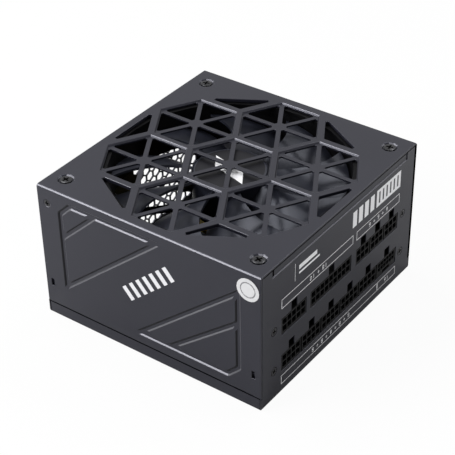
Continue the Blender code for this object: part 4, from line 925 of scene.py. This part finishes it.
placed("socket_pins", as_mesh(pins, "socket_pins"), tin, "case")


# Mains inlet: a black moulded appliance inlet, clipped into the panel by its flange, with three
# plated blades through its floor.
black_plastic = finish("black_plastic", (0.005, 0.005, 0.0055), 0.45, mottle=0.15, grain=0.06, sheen=0.25)
plated = finish("plated_blade", (0.66, 0.60, 0.46), 0.26, metallic=1.0, mottle=0.08, patch=0.003)
inlet = softened("inlet_socket", edge=0.0003)
placed("inlet", inlet, black_plastic, "case", ["inlet_socket"])
for number in range(1, 4):
    name = f"inlet_pin_{number}"
    placed(f"inlet_blade_{number}", softened(name, edge=0.0002), plated, "case", [name])


# Mains switch: a black housing snapped into the panel, and a rocker on two trunnions with the
# usual line and circle printed on its ends.
MARK_REACH = 0.0046
MARK_RADIUS = 0.0019
MARK_LINE = 0.0005
MARK_STEPS = 24
LOOK_FROM = 0.01
housing = softened("switch_housing", edge=0.0003)
placed("switch_box", housing, black_plastic, "case", ["switch_housing"])
rocker = softened("switch_rocker", edge=0.0004)
rocker_low, rocker_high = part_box("switch_rocker")
skin = BVHTree.FromPolygons([v.co for v in rocker.vertices], [p.vertices for p in rocker.polygons])
middle = (rocker_low + rocker_high) / 2
circle, line = middle.z - MARK_REACH, middle.z + MARK_REACH
loops = []
for radius in (MARK_RADIUS, MARK_RADIUS - MARK_LINE):
    turns = [math.tau * k / MARK_STEPS for k in range(MARK_STEPS)]
    loops.append([(middle.x + radius * math.cos(a), circle + radius * math.sin(a)) for a in turns])
marks = [(loops[0][k - 1], loops[0][k], loops[1][k], loops[1][k - 1]) for k in range(MARK_STEPS)]
left, right = middle.x - MARK_LINE / 2, middle.x + MARK_LINE / 2
for k in range(MARK_STEPS):
    low, high = (line + MARK_RADIUS * (2 * (k + end) / MARK_STEPS - 1) for end in (0, 1))
    marks.append(((left, low), (left, high), (right, high), (right, low)))
bm = bmesh.new()
for outline in marks:
    places = []
    for x, z in outline:
        found = skin.ray_cast(Vector((x, rocker_high.y + LOOK_FROM, z)), Vector((0, -1, 0)))[0]
        places.append(bm.verts.new(found + Vector((0, INK_PROUD, 0))))
    bm.faces.new(places)
bmesh.ops.remove_doubles(bm, verts=bm.verts, dist=MERGE_DISTANCE)
bmesh.ops.recalc_face_normals(bm, faces=bm.faces)
placed("rocker_key", rocker, black_plastic, "rocker", ["switch_rocker"])
placed("rocker_marks", as_mesh(bm, "rocker_marks"), ink_white, "rocker")


# Circuit boards: glass-fibre laminate under a green mask, on bright steel spacers, with a clear
# film between the main board and the sheet below.
board_green = finish(
    "solder_mask",
    (0.004, 0.014, 0.008),
    0.42,
    mottle=0.35,
    patch=0.003,
    grain=0.15,
    sheen=0.15,
)
film = finish("clear_film", (0.60, 0.60, 0.56), 0.25, mottle=0.05, patch=0.02)
dressed(["main_board", "modular_board", "control_board"], board_green)
dressed([f"board_spacer_{n}" for n in range(1, 5)], bright_steel)
dressed(["insulating_sheet"], film)


# Larger parts of the circuit: windings of wire or under tape, moulded film capacitors, drawn cans
# in sleeves, extruded heat sinks and a ground ferrite core.
tape = finish("winding_tape", (0.46, 0.33, 0.17), 0.45, mottle=0.1)
banded(tape, pitch=0.0040, axis="Z", depth=0.35)
yellow = finish("capacitor_case", (0.56, 0.43, 0.10), 0.40, mottle=0.08, patch=0.01, grain=0.1)
sleeve = finish("shrink_sleeve", (0.014, 0.014, 0.016), 0.30, mottle=0.1, patch=0.01)
aluminium = finish("drawn_aluminium", (0.56, 0.57, 0.58), 0.36, metallic=1.0, mottle=0.06, patch=0.004)
ferrite = finish("ground_ferrite", (0.040, 0.038, 0.037), 0.6, mottle=0.2, patch=0.003, grain=0.3)
dressed(["common_mode_choke"], copper)
dressed(["transformer_coil", "pfc_choke"], tape)
dressed(["filter_capacitor", "standby_transformer"], yellow)
dressed(["bulk_capacitor", "bridge_rectifier"], sleeve)
dressed(["primary_heatsink", "secondary_heatsink"], aluminium)
dressed([f"output_capacitor_{n}" for n in range(1, 5)], aluminium)
dressed(["transformer_core"], ferrite)


# Studio: a pale floor that keeps a faint shadow, a white surround, and six soft lamps: one above,
# strips for the drawn edges, the long wall and the back, a fill in front and one for the blades.
# The camera stands at the photograph's angle.
FLOOR_SIZE = 6.0
FLOOR_DROP = 1e-4
FLOOR_KEEP = 0.05
FLOOR_GREY = (0.62, 0.62, 0.62, 1.0)
WHITE = (1, 1, 1, 1)
SURROUND = 0.22
MIRROR_SHARE = 0.80
CAMERA_PLACE = (-0.51317, -0.37881, 0.49664)
CAMERA_TURN = (54.5835, 0.9084, -54.0289)
CAMERA_LENS = 111.26
CAMERA_SENSOR = 36.0
CAMERA_NEAR = 0.01


def shown_white(tree):
    """One for the rays that should see a white surround, seen or let through; less when mirrored."""
    path = Signal.make(tree, "ShaderNodeLightPath", output="Is Camera Ray")
    seen = path.math("MAXIMUM", path, path.beside("Is Glossy Ray") * MIRROR_SHARE)
    return seen.math("MAXIMUM", seen, path.beside("Is Transmission Ray"))


def lamp(name, place, size, power):
    """A soft rectangular lamp that looks at the middle of the unit."""
    light = bpy.data.lights.new(name, "AREA")
    light.shape = "RECTANGLE"
    light.size, light.size_y = size
    light.energy = power
    holder = linked(name, light)
    holder.location = place
    look = Vector((0, 0, case_high.z / 2)) - holder.location
    holder.rotation_euler = look.to_track_quat("-Z", "Y").to_euler()


half = FLOOR_SIZE / 2
mesh = one_face("floor", [(half * u, half * v, -FLOOR_DROP) for u, v in FOUR_CORNERS])
floor = linked("floor", mesh)
pale = bpy.data.materials.new("pale_floor")
pale.use_nodes = True
tree = pale.node_tree
tree.nodes.clear()
matt = Signal.make(tree, "ShaderNodeBsdfDiffuse", inputs={"Color": FLOOR_GREY})
white = Signal.make(tree, "ShaderNodeEmission", inputs={"Color": WHITE, "Strength": 1.0})
path = Signal.make(tree, "ShaderNodeLightPath", output="Is Camera Ray")
both = Signal.make(tree, "ShaderNodeMixShader", inputs={0: path * (1 - FLOOR_KEEP), 1: matt, 2: white})
ending = tree.nodes.new("ShaderNodeOutputMaterial")
tree.links.new(both.socket, ending.inputs["Surface"])
mesh.materials.append(pale)

world = bpy.data.worlds.new("surround")
bpy.context.scene.world = world
world.use_nodes = True
tree = world.node_tree
tree.nodes.clear()
soft = Signal.make(tree, "ShaderNodeBackground", inputs={"Color": WHITE, "Strength": SURROUND})
clear = Signal.make(tree, "ShaderNodeBackground", inputs={"Color": WHITE, "Strength": 1.0})
both = Signal.make(tree, "ShaderNodeMixShader", inputs={0: shown_white(tree), 1: soft, 2: clear})
ending = tree.nodes.new("ShaderNodeOutputWorld")
tree.links.new(both.socket, ending.inputs["Surface"])

lamp("overhead", (0.05, 0.62, 1.10), (0.6, 0.4), 7.0)
lamp("edge_strip", (-0.75, 0.62, 0.84), (0.9, 0.09), 10.5)
lamp("wall_strip", (-0.95, 0.70, 0.50), (0.9, 0.22), 10.5)
lamp("back_strip", (-0.13, 1.15, 0.14), (0.8, 0.36), 3.2)
lamp("front_fill", (0.72, -0.80, 0.62), (0.6, 0.5), 5.0)
lamp("blade_light", (0.63, -0.06, 1.02), (0.35, 0.35), 3.4)

camera = bpy.data.cameras.new("camera")
camera.lens = CAMERA_LENS
camera.sensor_width = CAMERA_SENSOR
camera.clip_start = CAMERA_NEAR
holder = linked("camera", camera)
holder.location = CAMERA_PLACE
holder.rotation_euler = [math.radians(angle) for angle in CAMERA_TURN]
bpy.context.scene.camera = holder
bpy.context.scene.view_settings.view_transform = "Standard"
